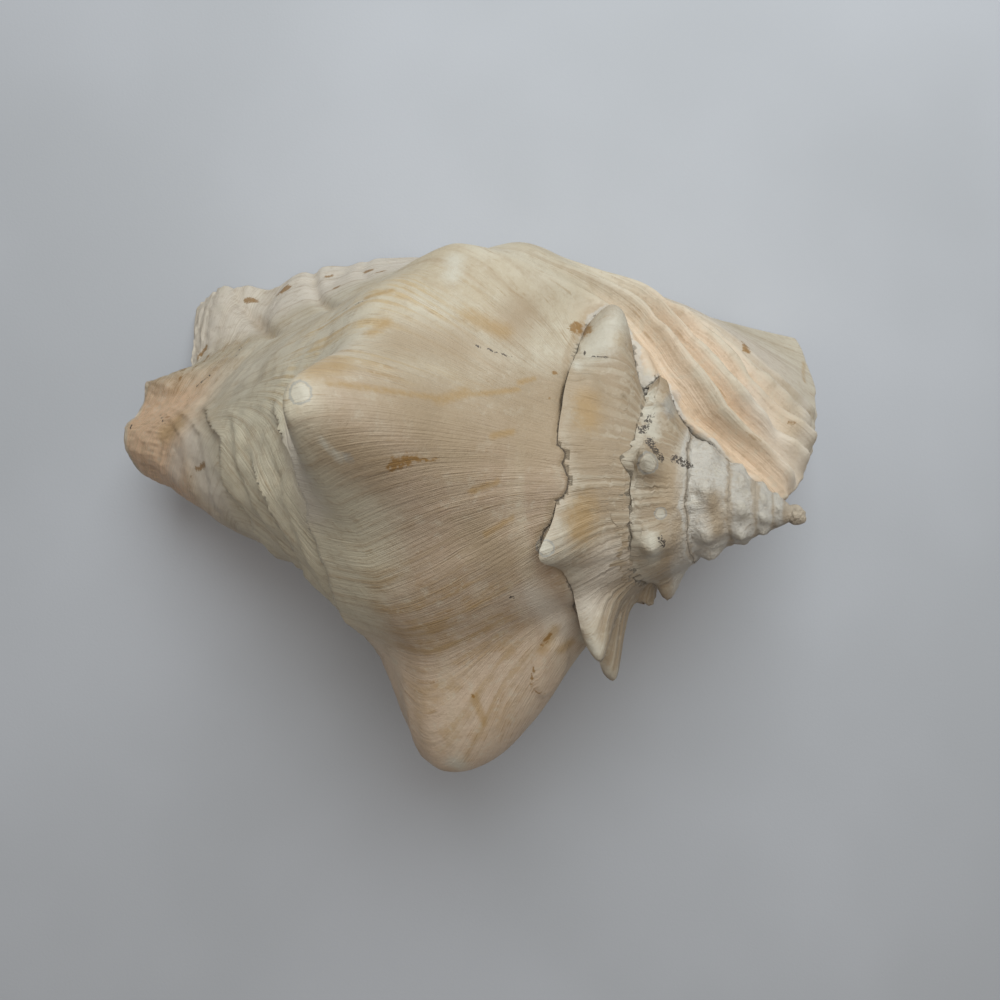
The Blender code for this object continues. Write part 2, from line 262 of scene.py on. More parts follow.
# %% Steps and splines
def smoothstep(low, high, value):
    t = np.clip((value - low) / (high - low), 0.0, 1.0)
    return t * t * (3.0 - 2.0 * t)


def fall(low, high, value):
    return 1.0 - smoothstep(low, high, value)


def bell(value, centre, width):
    return np.exp(-((value - centre) / width) ** 2)


def spline_weights(knots, samples):
    """Weights that read a natural cubic spline through values at the knots, at each sample."""
    knots = np.asarray(knots, float)
    samples = np.asarray(samples, float)
    count = len(knots)
    gap = np.diff(knots)
    bend = np.zeros((count, count))
    rise = np.zeros((count, count))
    bend[0, 0] = bend[-1, -1] = 1.0
    for i in range(1, count - 1):
        bend[i, i - 1:i + 2] = gap[i - 1], 2.0 * (gap[i - 1] + gap[i]), gap[i]
        rise[i, i - 1:i + 2] = 6.0 / gap[i - 1], -6.0 / gap[i - 1] - 6.0 / gap[i], 6.0 / gap[i]
    second = np.linalg.solve(bend, rise)
    cell = np.clip(np.searchsorted(knots, samples) - 1, 0, count - 2)
    h = gap[cell]
    b = (samples - knots[cell]) / h
    a = 1.0 - b
    weights = np.zeros((len(samples), count))
    rows = np.arange(len(samples))
    weights[rows, cell] += a
    weights[rows, cell + 1] += b
    weights += ((a ** 3 - a) * h * h / 6.0)[:, None] * second[cell]
    weights += ((b ** 3 - b) * h * h / 6.0)[:, None] * second[cell + 1]
    return weights


print("half a step:", smoothstep(0.0, 1.0, 0.5))


# %% The axis and the places round it
def growth(angle):
    return GROWTH_PER_TURN ** (np.asarray(angle) / 360.0)


def axis_frame():
    tilt, heading = math.radians(AXIS_TILT), math.radians(AXIS_HEADING)
    flat = math.cos(tilt)
    along = np.array([-flat * math.cos(heading), flat * math.sin(heading), -math.sin(tilt)])
    side = np.array([math.sin(heading), math.cos(heading), 0.0])
    return along, np.cross(side, along), side


ALONG, UP, SIDE = axis_frame()


def radial(angle):
    turned = np.radians(angle)[..., None]
    return np.cos(turned) * UP + np.sin(turned) * SIDE


def place(s, r, angle):
    """Point at distance s down the axis and r from it, at an angle from the top towards the lip."""
    return APEX + np.asarray(s)[..., None] * ALONG + np.asarray(r)[..., None] * radial(angle)


print("axis", ALONG.round(3))


# %% Where the whorl's wall runs
def profile(station):
    station = np.asarray(station, float)
    flat = np.clip(station, STATION[0], STATION[-1]).ravel()
    return (spline_weights(STATION, flat) @ RADIUS).reshape(station.shape)


def body_length(station, angle):
    g = growth(angle)
    lower = SHOULDER * g + (station - SHOULDER) / (SHELL_END - SHOULDER) * (SHELL_END - SHOULDER * g)
    return np.where(station < SHOULDER, station * g, lower)


def body_radius(station, angle):
    keep = smoothstep(SHOULDER, SHELL_END, station)
    return profile(station) * growth(angle) ** (1.0 - keep)


print("radius at the shoulder", profile(SHOULDER).round(1), "mm")

# %% [markdown]
# ## Spines
#
# At rest the animal pushed out hollow knobs along the shoulder. On the spire they sit just behind the
# seam of the next whorl. Each one is a bump in growth coordinates, pushed outwards and sometimes
# leant towards the apex.

# %% Spines and knobs
# angle, station, height, half-width in degrees, reach behind and ahead, lean, bluntness
SPINES = [
    (-152.0, 112.0, 33.0, 16.0, 17.0, 17.0, -0.1, 2.0),
    (-97.0, 104.0, 38.0, 25.0, 39.0, 21.0, 0.0, 3.0),
    (6.0, 103.0, 33.0, 14.0, 22.0, 13.0, 0.0, 1.6),
    (71.0, 103.0, 7.0, 9.0, 16.0, 20.0, 0.0, 1.6),
    (88.0, 92.0, 5.0, 14.0, 12.0, 12.0, 0.0, 1.8),
]
SPIRE_SPINES = [
    (-280.0, 84.0, 15.5, 11.0, 12.0, 9.0, 0.2, 2.4),
    (-296.0, 74.0, 6.5, 15.0, 9.0, 14.0, 0.2, 2.4),
    (-314.0, 83.0, 3.0, 6.0, 6.0, 5.0, 0.0, 1.8),
    (-384.0, 91.0, 9.0, 8.0, 8.0, 6.0, -0.3, 1.8),
    (-433.0, 87.0, 15.0, 9.0, 8.0, 9.0, 0.3, 1.8),
    (-457.0, 88.0, 24.0, 11.0, 8.0, 16.0, 0.2, 1.6),
    (-474.0, 74.0, 9.0, 7.0, 6.0, 6.0, 0.3, 2.0),
    (-520.0, 86.0, 12.0, 10.0, 9.0, 9.0, 0.0, 1.8),
    (-642.0, 87.0, 9.0, 10.0, 9.0, 9.0, 0.0, 2.0),
    (-662.0, 84.0, 4.0, 6.0, 7.0, 7.0, 0.2, 2.0),
    (-703.0, 91.0, 7.0, 8.0, 8.0, 6.0, 0.0, 2.0),
    (-750.0, 86.0, 5.0, 10.0, 9.0, 9.0, 0.0, 1.8),
    (-828.0, 89.0, 9.0, 13.0, 9.0, 9.0, 0.0, 2.2),
]
SPINE_FALL = 1.1


def spine_offset(spines, angle, station):
    """How far the spines push the wall outwards, and towards the apex, as vectors."""
    angle, station = np.broadcast_arrays(angle, station)
    outward = radial(angle)
    total = np.zeros(outward.shape)
    for centre, at, height, wide, behind, ahead, lean, blunt in spines:
        reach = np.where(station < at, behind, ahead)
        d = np.sqrt(((angle - centre) / wide) ** 2 + ((station - at) / reach) ** 2)
        total += (height * np.exp(-SPINE_FALL * d ** blunt))[..., None] * (outward - lean * ALONG)
    return total


# %% Knobs of the oldest whorls, all of one shape
TURNS = 6
OLDER_FROM = -880.0
OLDER_STEP = 47.0
OLDER_HEIGHT = 7.5
OLDER_STATION = 87.0
OLDER_SHAPE = (13.0, 9.0, 9.0, 0.2, 2.2)

angle = OLDER_FROM
while angle > -360.0 * TURNS:
    SPIRE_SPINES.append((angle, OLDER_STATION, OLDER_HEIGHT * float(growth(angle)), *OLDER_SHAPE))
    angle -= OLDER_STEP
print(len(SPINES), "spines on the last whorl,", len(SPIRE_SPINES), "on the spire")

# %% [markdown]
# ## The last whorl and the flared lip
#
# The wall of the last whorl is one sheet. Its first half follows the law. The lip leaves it, so its
# last four sections are given, and splines run through all of them. The sheet starts as a flat
# grid whose two directions are growth and the run from the seam to the canal.

# %% Sections
# points along each section of the lip, from the seam to the canal
LIP_ANGLES = [74.0, 98.0, 122.0, 146.0]
LIP_SECTIONS = [
    [(72, 0, 93), (59, 17, 90), (46, 34, 91), (33, 55, 82), (12, 64, 90), (-12, 67, 86),
     (-32, 65, 80), (-56, 60, 66), (-82, 52, 52), (-107, 46, 40), (-129, 44, 35)],
    [(98, 12, 68), (82, 30, 74), (63, 52, 70), (43, 65, 66), (18, 76, 66), (-9, 79, 62),
     (-32, 76, 57), (-60, 71, 46), (-84, 62, 37), (-104, 54, 31), (-119, 46, 28)],
    [(117, 40, 30), (97, 50, 41), (75, 64, 42), (52, 74, 38), (24, 82, 36), (-5, 88, 33),
     (-33, 87, 30), (-62, 84, 24), (-86, 77, 19), (-108, 69, 18), (-121, 60, 17)],
    [(120, 66, 4), (100, 70, 3), (80, 74, 3), (58, 79, 3), (32, 88, 3), (0, 97, 3),
     (-32, 98, 3), (-62, 97, 3), (-87, 91, 3), (-110, 87, 4), (-122, 79, 8)],
]
BODY_ANGLES = np.arange(-190.0, 51.0, 30.0)
BODY_STATIONS = [53.0, 57.0, 61.0, 71.0, 83.0, 103.0, 121.0, 148.0, 175.0, 203.0, 229.0]
# the section whose chords set how far the sections' points lie apart, and how the seam's edge tucks in
CHORD_ROW = -3
TUCK_SLOPE = 1.4


def sheet_net():
    """Control points of all sections, and the two knot lists."""
    angle = BODY_ANGLES[:, None]
    station = np.array(BODY_STATIONS)[None, :]
    r = body_radius(np.maximum(station, STATION[0]), angle)
    r = r - np.maximum(STATION[0] - station, 0.0) * TUCK_SLOPE
    body = place(body_length(station, angle), r, np.broadcast_to(angle, r.shape))
    net = np.concatenate([body, np.array(LIP_SECTIONS, float)])
    across = np.concatenate([BODY_ANGLES, LIP_ANGLES])
    chord = np.linalg.norm(np.diff(net[CHORD_ROW], axis=0), axis=1)
    along = np.concatenate([[0.0], np.cumsum(chord)])
    return net, across, along / along[-1]


NET, ACROSS, RUN = sheet_net()
print("net of", NET.shape[0], "sections with", NET.shape[1], "points each")

# %% Folds of the lip, grooves behind it and ridges of the wing
# place along the run, height, width, and the angle from which the fold grows
LIP_FOLDS = [(0.87, -5.0, 0.03, 75.0), (0.735, -2.0, 0.025, 75.0), (0.93, 1.0, 0.02, 90.0)]
# depth, width, and the line as pairs of angle and place along the run
LIP_GROOVES = [
    (2.6, 0.012, [(70.0, 0.81), (103.0, 0.856), (132.0, 0.905), (150.0, 0.925)]),
    (2.2, 0.010, [(66.0, 0.715), (80.0, 0.73), (100.0, 0.755), (134.0, 0.79), (150.0, 0.80)]),
    (1.0, 0.010, [(90.0, 0.66), (120.0, 0.69), (150.0, 0.70)]),
]
GROOVE_FADE = 25.0
# angle, height and width in degrees
WING_RIDGES = [
    (72.5, 4.5, 2.6), (80.5, 6.5, 2.3), (87.5, 6.5, 2.0), (94.0, 6.0, 2.0), (100.5, 4.0, 2.0),
    (107.0, 2.0, 2.0),
]
RIDGE_START = (0.0, 0.035)
RIDGE_END = (0.28, 0.42)


def folds(row, angle, v):
    total = np.zeros(angle.shape)
    for at, height, width, start in LIP_FOLDS:
        total += height * bell(v, at, width) * smoothstep(start, LIP_ANGLES[-1], angle)
    for depth, width, line in LIP_GROOVES:
        at, where = np.array(line).T
        fade_in = smoothstep(at[0], at[0] + GROOVE_FADE, angle)
        total -= depth * fade_in * bell(v, np.interp(angle, at, where), width)
    fade = fall(*RIDGE_END, v) * smoothstep(*RIDGE_START, v)
    for at, height, width in WING_RIDGES:
        total += height * bell(row, at, width) * fade
    return total


print(len(LIP_FOLDS), "folds,", len(LIP_GROOVES), "grooves,", len(WING_RIDGES), "ridges")

# %% Rows of growth swing forwards near the rear edge of the wing
WING_SWING = 45.0
WING_SWING_REACH = 0.14
WING_SWING_FROM = (58.0, 73.0)
WING_SWING_TO = (98.0, 125.0)


def growth_angles(row, v):
    swings = smoothstep(*WING_SWING_FROM, row) * fall(*WING_SWING_TO, row)
    return row + swings * WING_SWING * np.maximum(WING_SWING_REACH - v, 0.0)


print("the wing's rear corner grew", WING_SWING * WING_SWING_REACH, "degrees ahead")

# %% [markdown]
# ### Where growth lines leave their course
#
# A growth line is where the edge of the mouth once was, so it bends with that edge. It sweeps round
# the notch of the canal and across the neck, bows over the large knob, and is drawn aside where the
# mouth's edge climbed to the seam.

# %% Bends of the growth lines, in degrees
# each bend: its strength, the station where it starts and how far it grows, and the angles of its fade
NECK_BEND = -1.2, 124.0, 40.0, (-90.0, -60.0), (5.0, 35.0)
NOTCH_BEND, NOTCH_CURVE = (2.2, 172.0, 60.0), 0.02
# strength, station, half-width along the profile, and the angles of its fade
LOBE_BEND = 20.0, 106.0, 26.0, (-175.0, -130.0), (-108.0, -45.0)
# strength, station where it ends and how far it grows, the angle that stays, the most it can bend
SEAM_PULL = 0.5, 104.0, 44.0, 33.0, (-45.0, 40.0), (-65.0, -15.0), (58.0, 76.0)


def line_bend(angle, station):
    rate, start, most, fade_in, fade_out = NECK_BEND
    neck = rate * np.clip(station - start, 0.0, most) * smoothstep(*fade_in, angle) * fall(*fade_out, angle)
    rate, start, most = NOTCH_BEND
    past = np.clip(station - start, 0.0, most)
    notch = rate * (past + NOTCH_CURVE * past ** 2)
    rate, at, width, fade_in, fade_out = LOBE_BEND
    lobe = rate * (bell(station, at, width) * smoothstep(*fade_in, angle) * fall(*fade_out, angle))
    rate, end, reach, still, limits, fade_in, fade_out = SEAM_PULL
    pull = rate * np.clip((end - station) / reach, 0.0, 1.0) * np.clip(angle - still, *limits)
    pull = pull * smoothstep(*fade_in, angle) * fall(*fade_out, angle)
    return neck + notch + lobe + pull


print("bend at the canal's end", line_bend(0.0, SHELL_END).round(1), "degrees")

# %% Noise that comes out the same every time
SEED_STEP = 17.13
CELL_MIX = np.array([127.1, 311.7, 74.7])
CELL_SCALE = 43758.5453


def noise(points, size, seed):
    """Smooth noise between -1 and 1 at points in millimetres, with lumps of about one size."""
    q = np.asarray(points, float) / size + SEED_STEP * seed
    cell = np.floor(q)
    near = q - cell
    near = near * near * (3.0 - 2.0 * near)
    total = 0.0
    for corner in np.ndindex(2, 2, 2):
        value = np.sin((cell + corner) @ CELL_MIX) * CELL_SCALE
        value = 2.0 * (value - np.floor(value)) - 1.0
        total = total + value * np.prod(np.where(corner, near, 1.0 - near), axis=-1)
    return total


def lumpy(points, layers):
    """Sum of noises, each given by its size, height and seed."""
    return sum(height * noise(points, size, seed) for size, height, seed in layers)


def ribbed(row, run, layers):
    """Noises drawn out along the rows of growth, which gives ribs that swell, fade and fork."""
    total = 0.0
    for degrees, stretch, height, seed in layers:
        flat = np.stack(np.broadcast_arrays(row / degrees, run * stretch, 0.0), axis=-1)
        total = total + height * noise(flat, 1.0, seed)
    return total


print("noise at the apex", noise(APEX, 10.0, 1).round(3))

# %% [markdown]
# ### Relief of the last whorl
#
# The real wall is never smooth. Each pause in growth left a rib. On the neck the layers overlap like
# shingles, each with a steep edge on the canal's side. The notch at the front of the lip shows broken
# layers, one under the other. The wing's ridges are knobbly, with finer ones between them. Each form is
# a function of one bundle, wall, which holds the points of the sheet and their growth coordinates.

# %% Lumps and ribs
LUMPS = [(24.0, 0.6, 11), (10.0, 0.22, 12), (4.5, 0.08, 13)]
LUMPS_FROM = (0.02, 0.14)
RIBS = [(3.2, 5.0, 0.13, 1), (6.5, 4.0, 0.20, 2), (13.0, 3.0, 0.30, 3)]
# where ribs are doubled: all over the wing, and on the back between these angles and runs
WING_FROM = (52.0, 72.0)
BACK_FROM = (30.0, 45.0)
BACK_RUN_IN, BACK_RUN_OUT = (0.25, 0.35), (0.55, 0.65)


def lumps(wall):
    return smoothstep(*LUMPS_FROM, wall.v) * lumpy(wall.points, LUMPS)


def ribs(wall):
    wing = smoothstep(*WING_FROM, wall.row)
    strong = smoothstep(*BACK_FROM, wall.row) * (1.0 - wing)
    strong = strong * smoothstep(*BACK_RUN_IN, wall.v) * fall(*BACK_RUN_OUT, wall.v)
    line = wall.row + line_bend(wall.angle, wall.station)
    return (1.0 + wing + strong) * ribbed(line, wall.v, RIBS)


print(len(LUMPS), "sizes of lumps and", len(RIBS), "of ribs")

# %% Shingles of the neck
# height, length of the slope behind, and the edge as pairs of angle and station
SHINGLES = [
    (2.6, 16.0, [(-70.0, 163.0), (-36.0, 161.0), (-28.0, 160.0), (-22.0, 162.0), (-16.0, 167.0),
                 (-6.0, 167.0), (3.0, 166.0), (30.0, 188.0)]),
    (3.4, 14.0, [
        (-80.0, 135.0), (-39.0, 137.0), (-30.0, 135.0), (-24.0, 136.0), (-14.0, 139.0), (2.0, 150.0),
    ]),
    (2.8, 12.0, [(-90.0, 122.0), (-47.0, 123.0), (-32.0, 119.0), (-22.0, 118.0), (-17.0, 120.0),
                 (-10.0, 116.0), (-2.0, 121.0), (6.0, 132.0), (20.0, 142.0)]),
    (0.9, 5.0, [(-80.0, 150.0), (-30.0, 149.0), (-18.0, 153.0), (-8.0, 156.0), (6.0, 158.0), (20.0, 166.0)]),
    (0.8, 5.0, [(-70.0, 128.0), (-34.0, 128.0), (-20.0, 130.0), (-8.0, 131.0), (8.0, 143.0)]),
    (0.7, 5.0, [(-50.0, 178.0), (-20.0, 178.0), (5.0, 181.0), (28.0, 201.0), (46.0, 216.0)]),
    (0.6, 4.0, [(-40.0, 191.0), (0.0, 192.0), (25.0, 206.0), (44.0, 221.0)]),
]
SHINGLE_EDGE = 1.8
SHINGLE_FADE = 16.0
SHINGLE_WAVE = [(7.0, 1.3, 51), (3.0, 0.5, 52)]


def shingles(wall):
    total = np.zeros(wall.angle.shape)
    wave = lumpy(wall.points, SHINGLE_WAVE)
    for height, slope, edge in SHINGLES:
        at, line = np.array(edge).T
        behind = np.interp(wall.angle, at, line) - wall.station + wave
        shape = np.exp(-np.maximum(behind, 0.0) / slope) * smoothstep(-SHINGLE_EDGE, 0.0, behind)
        starts = smoothstep(at[0] - SHINGLE_FADE, at[0], wall.angle)
        total += height * shape * starts * fall(at[-1] - SHINGLE_FADE, at[-1], wall.angle)
    return total


print(len(SHINGLES), "shingles, up to", max(height for height, _, _ in SHINGLES), "mm high")

# %% Wrinkles of the neck, and how much thinner it is on its free side
WRINKLES = [(5.0, 0.35, 14), (2.2, 0.18, 15)]
NECK_FROM = (112.0, 130.0)
NECK_TO = (60.0, 80.0)
NECK_STATION = [115.0, 128.0, 140.0, 160.0, 172.0, 188.0, 205.0, 215.0, 229.0]
NECK_THIN = [0.0, 0.5, 4.2, 3.2, 0.8, -1.8, -0.4, 1.4, 1.6]
THIN_IN, THIN_OUT = (-110.0, -80.0), (-40.0, -12.0)


def wrinkles(wall):
    return smoothstep(*NECK_FROM, wall.station) * fall(*NECK_TO, wall.row) * lumpy(wall.points, WRINKLES)


def thinned(wall):
    thin = np.interp(wall.station, NECK_STATION, NECK_THIN)
    return -thin * smoothstep(*THIN_IN, wall.angle) * fall(*THIN_OUT, wall.angle)


print("the neck is up to", max(NECK_THIN), "mm thinner")

# %% Folds and the small ear on the large knob
# station, height and half-width
LOBE_FOLDS = [(110.5, 0.8, 1.5), (117.0, 0.7, 1.5), (124.0, 0.9, 1.8)]
LOBE_IN, LOBE_OUT = (-125.0, -105.0), (-80.0, -62.0)
FOLD_WAVE = [(14.0, 1.5, 26)]
EAR_ANGLE, EAR_STATION = -85.0, 71.5
EAR_WIDE, EAR_LONG, EAR_HEIGHT = 9.0, 4.8, 1.2
EAR_EDGE = (0.75, 1.0)


def lobe_folds(wall):
    wave = lumpy(wall.points, FOLD_WAVE)
    lines = sum(height * bell(wall.station + wave, at, width) for at, height, width in LOBE_FOLDS)
    return smoothstep(*LOBE_IN, wall.angle) * fall(*LOBE_OUT, wall.angle) * lines


def ear(wall):
    reach = np.hypot((wall.angle - EAR_ANGLE) / EAR_WIDE, (wall.station - EAR_STATION) / EAR_LONG)
    return EAR_HEIGHT * fall(*EAR_EDGE, reach)


print(len(LOBE_FOLDS), "folds on the knob")

# %% Small ridges and knobbles of the wing
SMALL_RIDGES = [
    (69.0, 0.5, 1.0), (77.5, 0.6, 0.9), (85.8, 0.6, 0.8), (91.2, 0.5, 0.8), (98.5, 0.7, 1.2),
    (103.0, 0.5, 1.0),
]
SMALL_FADE = (0.24, 0.34)
SMALL_SWELL = [(9.0, 0.8, 21)]
KNOBBLES = [(11.0, 0.35, 22), (5.0, 0.2, 23)]


def ridges_of(row, ridges):
    return sum(height * bell(row, at, width) for at, height, width in ridges)


def wing_detail(wall):
    small = ridges_of(wall.row, SMALL_RIDGES) * (1.0 + lumpy(wall.points, SMALL_SWELL))
    large = ridges_of(wall.row, WING_RIDGES) * lumpy(wall.points, KNOBBLES)
    return fall(*SMALL_FADE, wall.v) * (small + large)


print(len(SMALL_RIDGES), "small ridges")

# %% Broken layers in the notch, and the edge that lets the spire show
# height of each layer, and how far it lies from the free edge
LAYERS = [(0.7, 1.4), (0.7, 3.4), (0.8, 6.4), (0.6, 10.5)]
LAYER_EDGE = 0.5
LAYER_WAVE = [(6.0, 1.6, 24), (2.5, 0.7, 25)]
NOTCH_ANGLES, NOTCH_RUN = (46.0, 60.0), (0.86, 0.92)
SEAM_LIFT, SEAM_LIFT_WIDTH, SEAM_LIFT_TO = 1.3, 4.0, (50.0, 70.0)
SPIRE_SHOWS = 5.0
SHOWS_RUN, SHOWS_IN, SHOWS_OUT = (0.20, 0.25), (46.0, 58.0), (66.0, 80.0)


def broken_layers(wall):
    torn = smoothstep(*NOTCH_ANGLES, wall.row) * smoothstep(*NOTCH_RUN, wall.v)
    depth = wall.from_notch + lumpy(wall.points, LAYER_WAVE)
    return -torn * sum(height * fall(at, at + LAYER_EDGE, depth) for height, at in LAYERS)


def seam_lift(wall):
    return SEAM_LIFT * bell(wall.station, SUTURE, SEAM_LIFT_WIDTH) * fall(*SEAM_LIFT_TO, wall.row)


def sunk_edge(wall):
    sunk = -SPIRE_SHOWS * fall(*SHOWS_RUN, wall.v)
    return sunk * smoothstep(*SHOWS_IN, wall.row) * fall(*SHOWS_OUT, wall.row)


RELIEF = [
    seam_lift, lumps, ribs, wrinkles, lobe_folds, ear, wing_detail, broken_layers, shingles, thinned,
    sunk_edge,
]
print(len(RELIEF), "forms in the relief")

# %% [markdown]
# ### Wall thickness
#
# The wall is 4 mm thick and doubles towards the lip. At a free edge both faces curve in and meet, as
# on a lip that the sea has rounded, so the sheet closes without a seam.

# %% Helpers for the sheet
EDGE_ROUND = 0.6


def unit(vectors):
    return vectors / np.maximum(np.linalg.norm(vectors, axis=-1, keepdims=True), 1e-9)


def sheet_normals(points):
    return unit(np.cross(np.gradient(points, axis=0), np.gradient(points, axis=1)))


def run_lengths(points, axis):
    """Arc length along one direction of the grid, from its first line."""
    step = np.linalg.norm(np.diff(points, axis=axis), axis=2)
    start = np.zeros_like(step[:1] if axis == 0 else step[:, :1])
    return np.concatenate([start, np.cumsum(step, axis=axis)], axis=axis)


def roundness(distance, wall):
    t = np.clip(distance / (EDGE_ROUND * wall / 2.0), 0.0, 1.0)
    return np.sqrt(np.maximum(1.0 - (1.0 - t) ** 2, 0.0))


print("an edge is round over", EDGE_ROUND, "of half the wall")

# %% Uneven rims, the bite at the notch's corner and two worn spines
RIM_WOBBLE = [(9.0, 0.8, 31), (3.5, 0.35, 32)]
RIM_REACH = 5.0
NOTCH_ROW = 86.0
NOTCH_WIDE = 8.0
NOTCH_DEEP = 5.0
# growth angle of the spine, and how much of its tip is gone
WORN_TIPS = [(6.0, 2.2), (-97.0, 2.0)]
WORN_FROM = 18.0
WORN_FLAT = 0.9


def wobble(points, row, across, along):
    """Makes the free edges uneven: they move in and out within the sheet, less and less away from the rim."""
    drift = lumpy(points, RIM_WOBBLE)[..., None]
    outwards, forwards = unit(np.gradient(points, axis=0)), unit(np.gradient(points, axis=1))
    total = np.exp(-(across[-1:] - across) / RIM_REACH)[..., None] * drift * outwards
    to_end = along[:, -1:] - along
    total = total - np.exp(-along / RIM_REACH)[..., None] * drift * forwards
    total = total + np.exp(-to_end / RIM_REACH)[..., None] * drift * forwards
    bite = NOTCH_DEEP * np.exp(-((row - NOTCH_ROW) / NOTCH_WIDE) ** 2 - to_end / (2.0 * RIM_REACH))
    return total - bite[..., None] * forwards


def wear(points, spikes):
    """Flattens the tips of two spines, as the sea has."""
    for at, depth in WORN_TIPS:
        way = radial(np.array(at))
        height = (points - APEX) @ way
        near = spikes @ way > WORN_FROM
        over = np.where(near, np.maximum(height - height[near].max() + depth, 0.0), 0.0)
        points = points - WORN_FLAT * over[..., None] * way
    return points


print(len(WORN_TIPS), "worn tips")

# %% Outer and inner wall
WALL = 4.0
LIP_WALL = 8.0
LIP_WALL_FROM = 90.0
START_WALL = 7.0
START_WALL_END = (-150.0, -110.0)
SPINE_HOLLOW = 0.45


def sheet_walls(u, v):
    """Outer and inner points of the sheet for rows u of growth and v along them, and their coordinates."""
    row = u[:, None]
    angle = growth_angles(row, v[None, :])
    reads = spline_weights(ACROSS, angle.ravel()).reshape(len(u), len(v), -1)
    base = np.einsum("uvi,ijk,vj->uvk", reads, NET, spline_weights(RUN, v), optimize=True)
    normal = sheet_normals(base)
    station = np.interp(v, RUN, BODY_STATIONS)[None, :] + 0.0 * row
    spikes = spine_offset(SPINES, angle, station)
    early = fall(*START_WALL_END, angle)
    wall = WALL + (LIP_WALL - WALL) * smoothstep(LIP_WALL_FROM, LIP_ANGLES[-1], angle) + START_WALL * early
    across, along = run_lengths(base, 0), run_lengths(base, 1)
    to_end = along[:, -1:] - along
    full_v = v[None, :] + 0.0 * row
    forms = SimpleNamespace(points=base, row=row, angle=angle, station=station, v=full_v, from_notch=to_end)
    lift = folds(row, angle, full_v) + sum(form(forms) for form in RELIEF)
    shift = wobble(base, row, across, along)
    outer = wear(base + shift + spikes + normal * lift[..., None], spikes)
    inner = base + shift - normal * wall[..., None] + (SPINE_HOLLOW * (1.0 - early))[..., None] * spikes
    full = roundness(across[-1:] - across, wall) * roundness(across, wall)
    full = full * roundness(along, wall) * roundness(to_end, wall)
    middle = 0.5 * (outer + inner)
    half = 0.5 * (outer - inner) * full[..., None]
    return middle + half, middle - half, station


print("wall", WALL, "mm, lip", LIP_WALL, "mm")

# %% [markdown]
# ### From a flat grid to the sheet
#
# A grid primitive has exactly the layout that is wanted, and it brings its own UV map. Rows are
# crowded where the shape is busy: at the spines, on the wing's ridges and at the rim.

# %% Helpers for selecting and editing
@contextlib.contextmanager
def editing(piece, selected="SELECT"):
    """Edit mode on one piece, with all vertices selected, with none, or with None as they were."""
    bpy.ops.object.select_all(action="DESELECT")
    piece.select_set(True)
    bpy.context.view_layer.objects.active = piece
    bpy.ops.object.mode_set(mode="EDIT")
    bpy.ops.mesh.select_mode(type="VERT")
    if selected:
        bpy.ops.mesh.select_all(action=selected)
    yield
    bpy.ops.object.mode_set(mode="OBJECT")


def open_vertices(piece):
    """Selects the vertices of edges that don't join exactly two faces, and counts them."""
    with editing(piece, "DESELECT"):
        bpy.ops.mesh.select_non_manifold()
    return sum(vertex.select for vertex in piece.data.vertices)


def welded(pieces, gap):
    """Joins pieces into the first and merges the vertices that coincide."""
    bpy.ops.object.select_all(action="DESELECT")
    for piece in pieces:
        piece.select_set(True)
    bpy.context.view_layer.objects.active = pieces[0]
    bpy.ops.object.join()
    with editing(pieces[0]):
        bpy.ops.mesh.remove_doubles(threshold=gap)
    print(pieces[0].name, len(pieces[0].data.polygons), "faces,", open_vertices(pieces[0]), "open vertices")
    return pieces[0]


def vertex_array(piece, name):
    values = np.empty(3 * len(piece.data.vertices), np.float32)
    piece.data.vertices.foreach_get(name, values)
    return values.reshape(-1, 3).astype(float)


# %% Grids
CROWD_SAMPLES = 4000


def crowded(low, high, count, crowds):
    """Samples that crowd round given places: each has its centre, its half-width and its gain."""
    fine = np.linspace(low, high, CROWD_SAMPLES)
    weight = np.ones(len(fine))
    for centre, width, gain in crowds:
        weight += gain * np.exp(-((fine - centre) / width) ** 4)
    total = np.concatenate([[0.0], np.cumsum(0.5 * (weight[1:] + weight[:-1]))])
    return np.interp(np.linspace(0.0, total[-1], count), total, fine)


def grid_mesh(name, points):
    """A grid primitive whose vertices are moved onto an array of points, rows by columns."""
    rows, columns = points.shape[:2]
    bpy.ops.object.select_all(action="DESELECT")
    bpy.ops.mesh.primitive_grid_add(x_subdivisions=rows - 1, y_subdivisions=columns - 1, size=1.0)
    made = bpy.context.active_object
    made.name = made.data.name = name
    flat = np.empty(3 * rows * columns)
    made.data.vertices.foreach_get("co", flat)
    flat = flat.reshape(-1, 3)
    i = np.rint((flat[:, 0] + 0.5) * (rows - 1)).astype(int)
    j = np.rint((flat[:, 1] + 0.5) * (columns - 1)).astype(int)
    moved = (points[i, j] - MIDDLE) * MM
    made.data.vertices.foreach_set("co", moved.ravel())
    made.data.update()
    return made


# %% Body whorl and lip
SHEET_ACROSS = 330
SHEET_ALONG = 200
U_CROWDS = [(6.0, 14.0, 0.5), (85.0, 20.0, 1.2), (146.0, 6.0, 2.0)]
V_CROWDS = [(0.16, 0.05, 1.0), (0.0, 0.01, 2.0), (1.0, 0.01, 2.0)]
WELD = 2e-6

u_rows = crowded(ACROSS[0], ACROSS[-1], SHEET_ACROSS, U_CROWDS)
v_rows = crowded(0.0, 1.0, SHEET_ALONG, V_CROWDS)
outer, inner, sheet_station = sheet_walls(u_rows, v_rows)
outer_wall = grid_mesh("outer_wall", outer)
inner_wall = grid_mesh("inner_wall", inner)
with editing(inner_wall):
    bpy.ops.mesh.flip_normals()
body = welded([outer_wall, inner_wall], WELD)

# %% [markdown]
# ## The spire
#
# The earlier whorls wind up to the apex as one long band. Its lower edge at one angle is its upper
# edge a turn later, which is the seam. Below the last seam the same surface is the wall that the last
# whorl wraps round, and it narrows to the columella, the pillar inside the mouth.

